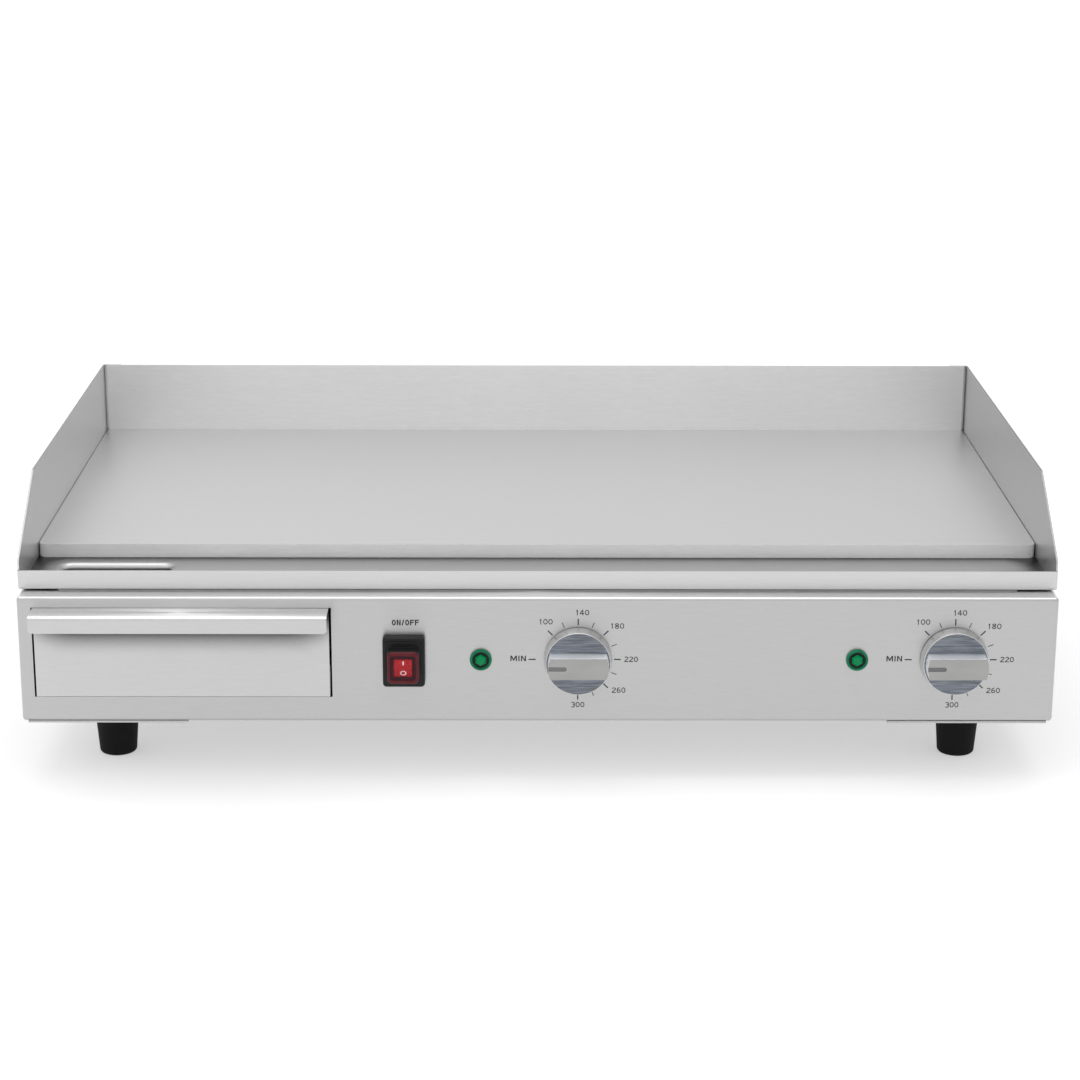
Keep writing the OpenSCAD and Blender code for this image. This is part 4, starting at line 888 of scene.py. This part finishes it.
def gland_cap():
    """The gland's dome nut, with a ribbed grip and a round entry for the cable."""
    low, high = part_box("gland_cap")
    centre = middle("gland_cap")
    grip_r, bore_r = (high.x - low.x) / 2 - 0.02 * MM, 5 * MM
    ribs, steps = 20, 8
    count = ribs * steps

    def ring(radius, flute):
        points = []
        for i in range(count):
            a = 2 * math.pi * i / count
            r = radius - flute * (0.5 - 0.5 * math.cos(ribs * a)) ** 3
            points.append(Vector((r * math.cos(a), r * math.sin(a))))
        return points

    inner_r = 8.06 * MM
    length = high.y - low.y
    layers = [
        (ring(grip_r - 0.4 * MM, 0), low.y), (ring(grip_r, 0.2 * MM), low.y + 0.5 * MM),
        (ring(grip_r, 0.7 * MM), low.y + 1.4 * MM), (ring(grip_r, 0.7 * MM), high.y - 5.4 * MM),
        (ring(grip_r - 0.2 * MM, 0), high.y - 4.2 * MM), (ring(grip_r - 1.2 * MM, 0), high.y - 2 * MM),
        (ring(8.4 * MM, 0), high.y - 0.3 * MM), (ring(7.6 * MM, 0), high.y - 0.02 * MM),
        (ring(bore_r + 0.5 * MM, 0), high.y - 0.02 * MM), (ring(bore_r, 0), high.y - 0.6 * MM),
        (ring(bore_r, 0), low.y + length / 2), (ring(inner_r, 0), low.y + length / 2),
        (ring(inner_r, 0), low.y)
    ]
    bm = bmesh.new()
    add_rings(bm, layers, centre, [0] * len(layers))
    piece = new_piece("gland_dome", bm, ["black_plastic"], "casing", angle=38)
    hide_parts("gland_cap")


# ---- Floor, light and camera ----


def floor():
    look = Look("floor", Roughness=0.9, Emission_Color=(1, 1, 1, 1), Emission_Strength=0.42)
    clouds = look.noise((1.5, 1.5, 1.5), detail=2)
    look.wear(look.ramp(clouds, grey(0.60), grey(0.62)))
    mesh = bpy.data.meshes.new("floor")
    half = 14
    corners = [(-half, -half, 0), (half, -half, 0), (half, half, 0), (-half, half, 0)]
    mesh.from_pydata(corners, [], [(0, 1, 2, 3)])
    mesh.materials.append(look.material)
    piece = bpy.data.objects.new("floor", mesh)
    scene.collection.objects.link(piece)


def softbox(name, place, size, power, mirrored=True):
    """A rectangular light aimed at the griddle. It can light the scene without showing in bare metal."""
    light = bpy.data.lights.new(name, "AREA")
    light.shape, light.size, light.size_y = "RECTANGLE", *size
    light.energy = power
    lamp_object = bpy.data.objects.new(name, light)
    lamp_object.location = place
    lamp_object.visible_glossy = mirrored
    lamp_object.rotation_mode = "QUATERNION"
    aim = Vector((0, 0, 0.1))
    lamp_object.rotation_quaternion = (aim - Vector(place)).to_track_quat("-Z", "Y")
    scene.collection.objects.link(lamp_object)


def studio():
    """A white room, brighter on the left, with a large soft light overhead and one from the front left."""
    world = bpy.data.worlds.new("studio")
    world.use_nodes = True
    nodes, links = world.node_tree.nodes, world.node_tree.links
    place, split = nodes.new("ShaderNodeTexCoord"), nodes.new("ShaderNodeSeparateXYZ")
    ramp = nodes.new("ShaderNodeValToRGB")
    stops = ramp.color_ramp.elements
    stops[0].position, stops[0].color = 0.0, (0.93, 0.93, 0.93, 1)
    stops[1].position, stops[1].color = 0.9, (1.0, 1.0, 1.0, 1)
    middle_stop = stops.new(0.35)
    middle_stop.color = (0.90, 0.90, 0.90, 1)
    links.new(place.outputs["Generated"], split.inputs[0])
    links.new(split.outputs["Z"], ramp.inputs["Fac"])
    sideways, dim = nodes.new("ShaderNodeMapRange"), nodes.new("ShaderNodeVectorMath")
    for socket, number in zip(MAP_SOCKETS, (-0.35, 0.45, 1.12, 0.88)):
        sideways.inputs[socket].default_value = number
    dim.operation = "SCALE"
    links.new(split.outputs["X"], sideways.inputs["Value"])
    links.new(ramp.outputs["Color"], dim.inputs[0])
    links.new(sideways.outputs["Result"], dim.inputs["Scale"])
    links.new(dim.outputs["Vector"], nodes["Background"].inputs["Color"])
    nodes["Background"].inputs["Strength"].default_value = 1.0
    scene.world = world
    softbox("overhead", (0.0, -0.2, 2.4), (2.4, 1.6), 16)
    softbox("front_left", (-1.6, -2.4, 1.7), (2.2, 1.6), 6, mirrored=False)
    scene.view_settings.view_transform = "Standard"


def camera():
    """A long lens in front of the griddle and above it, slightly to the left."""
    place = Vector((-0.0115, -1.9765, 0.7073))
    pitch, yaw, roll = 0.2913, 0.0071, -0.0032
    level = Vector((math.sin(yaw), math.cos(yaw), 0))
    right = Vector((math.cos(yaw), -math.sin(yaw), 0))
    up_axis = Vector((0, 0, 1))
    ahead = math.cos(pitch) * level - math.sin(pitch) * up_axis
    above = math.sin(pitch) * level + math.cos(pitch) * up_axis
    side = math.cos(roll) * right - math.sin(roll) * above
    top = math.sin(roll) * right + math.cos(roll) * above
    data = bpy.data.cameras.new("camera")
    data.sensor_width, data.lens = 36, 88.25
    rig = bpy.data.objects.new("camera", data)
    rig.matrix_world = Matrix.Translation(place) @ Matrix((side, top, -ahead)).transposed().to_4x4()
    scene.collection.objects.link(rig)
    scene.camera = rig


camera()
studio()
floor()
dress_cad_nodes()
for dial in ("left", "right"):
    dial_marks(dial)
    knob(dial)
    lamp(dial)
switch()
switch_label()
gland_cap()
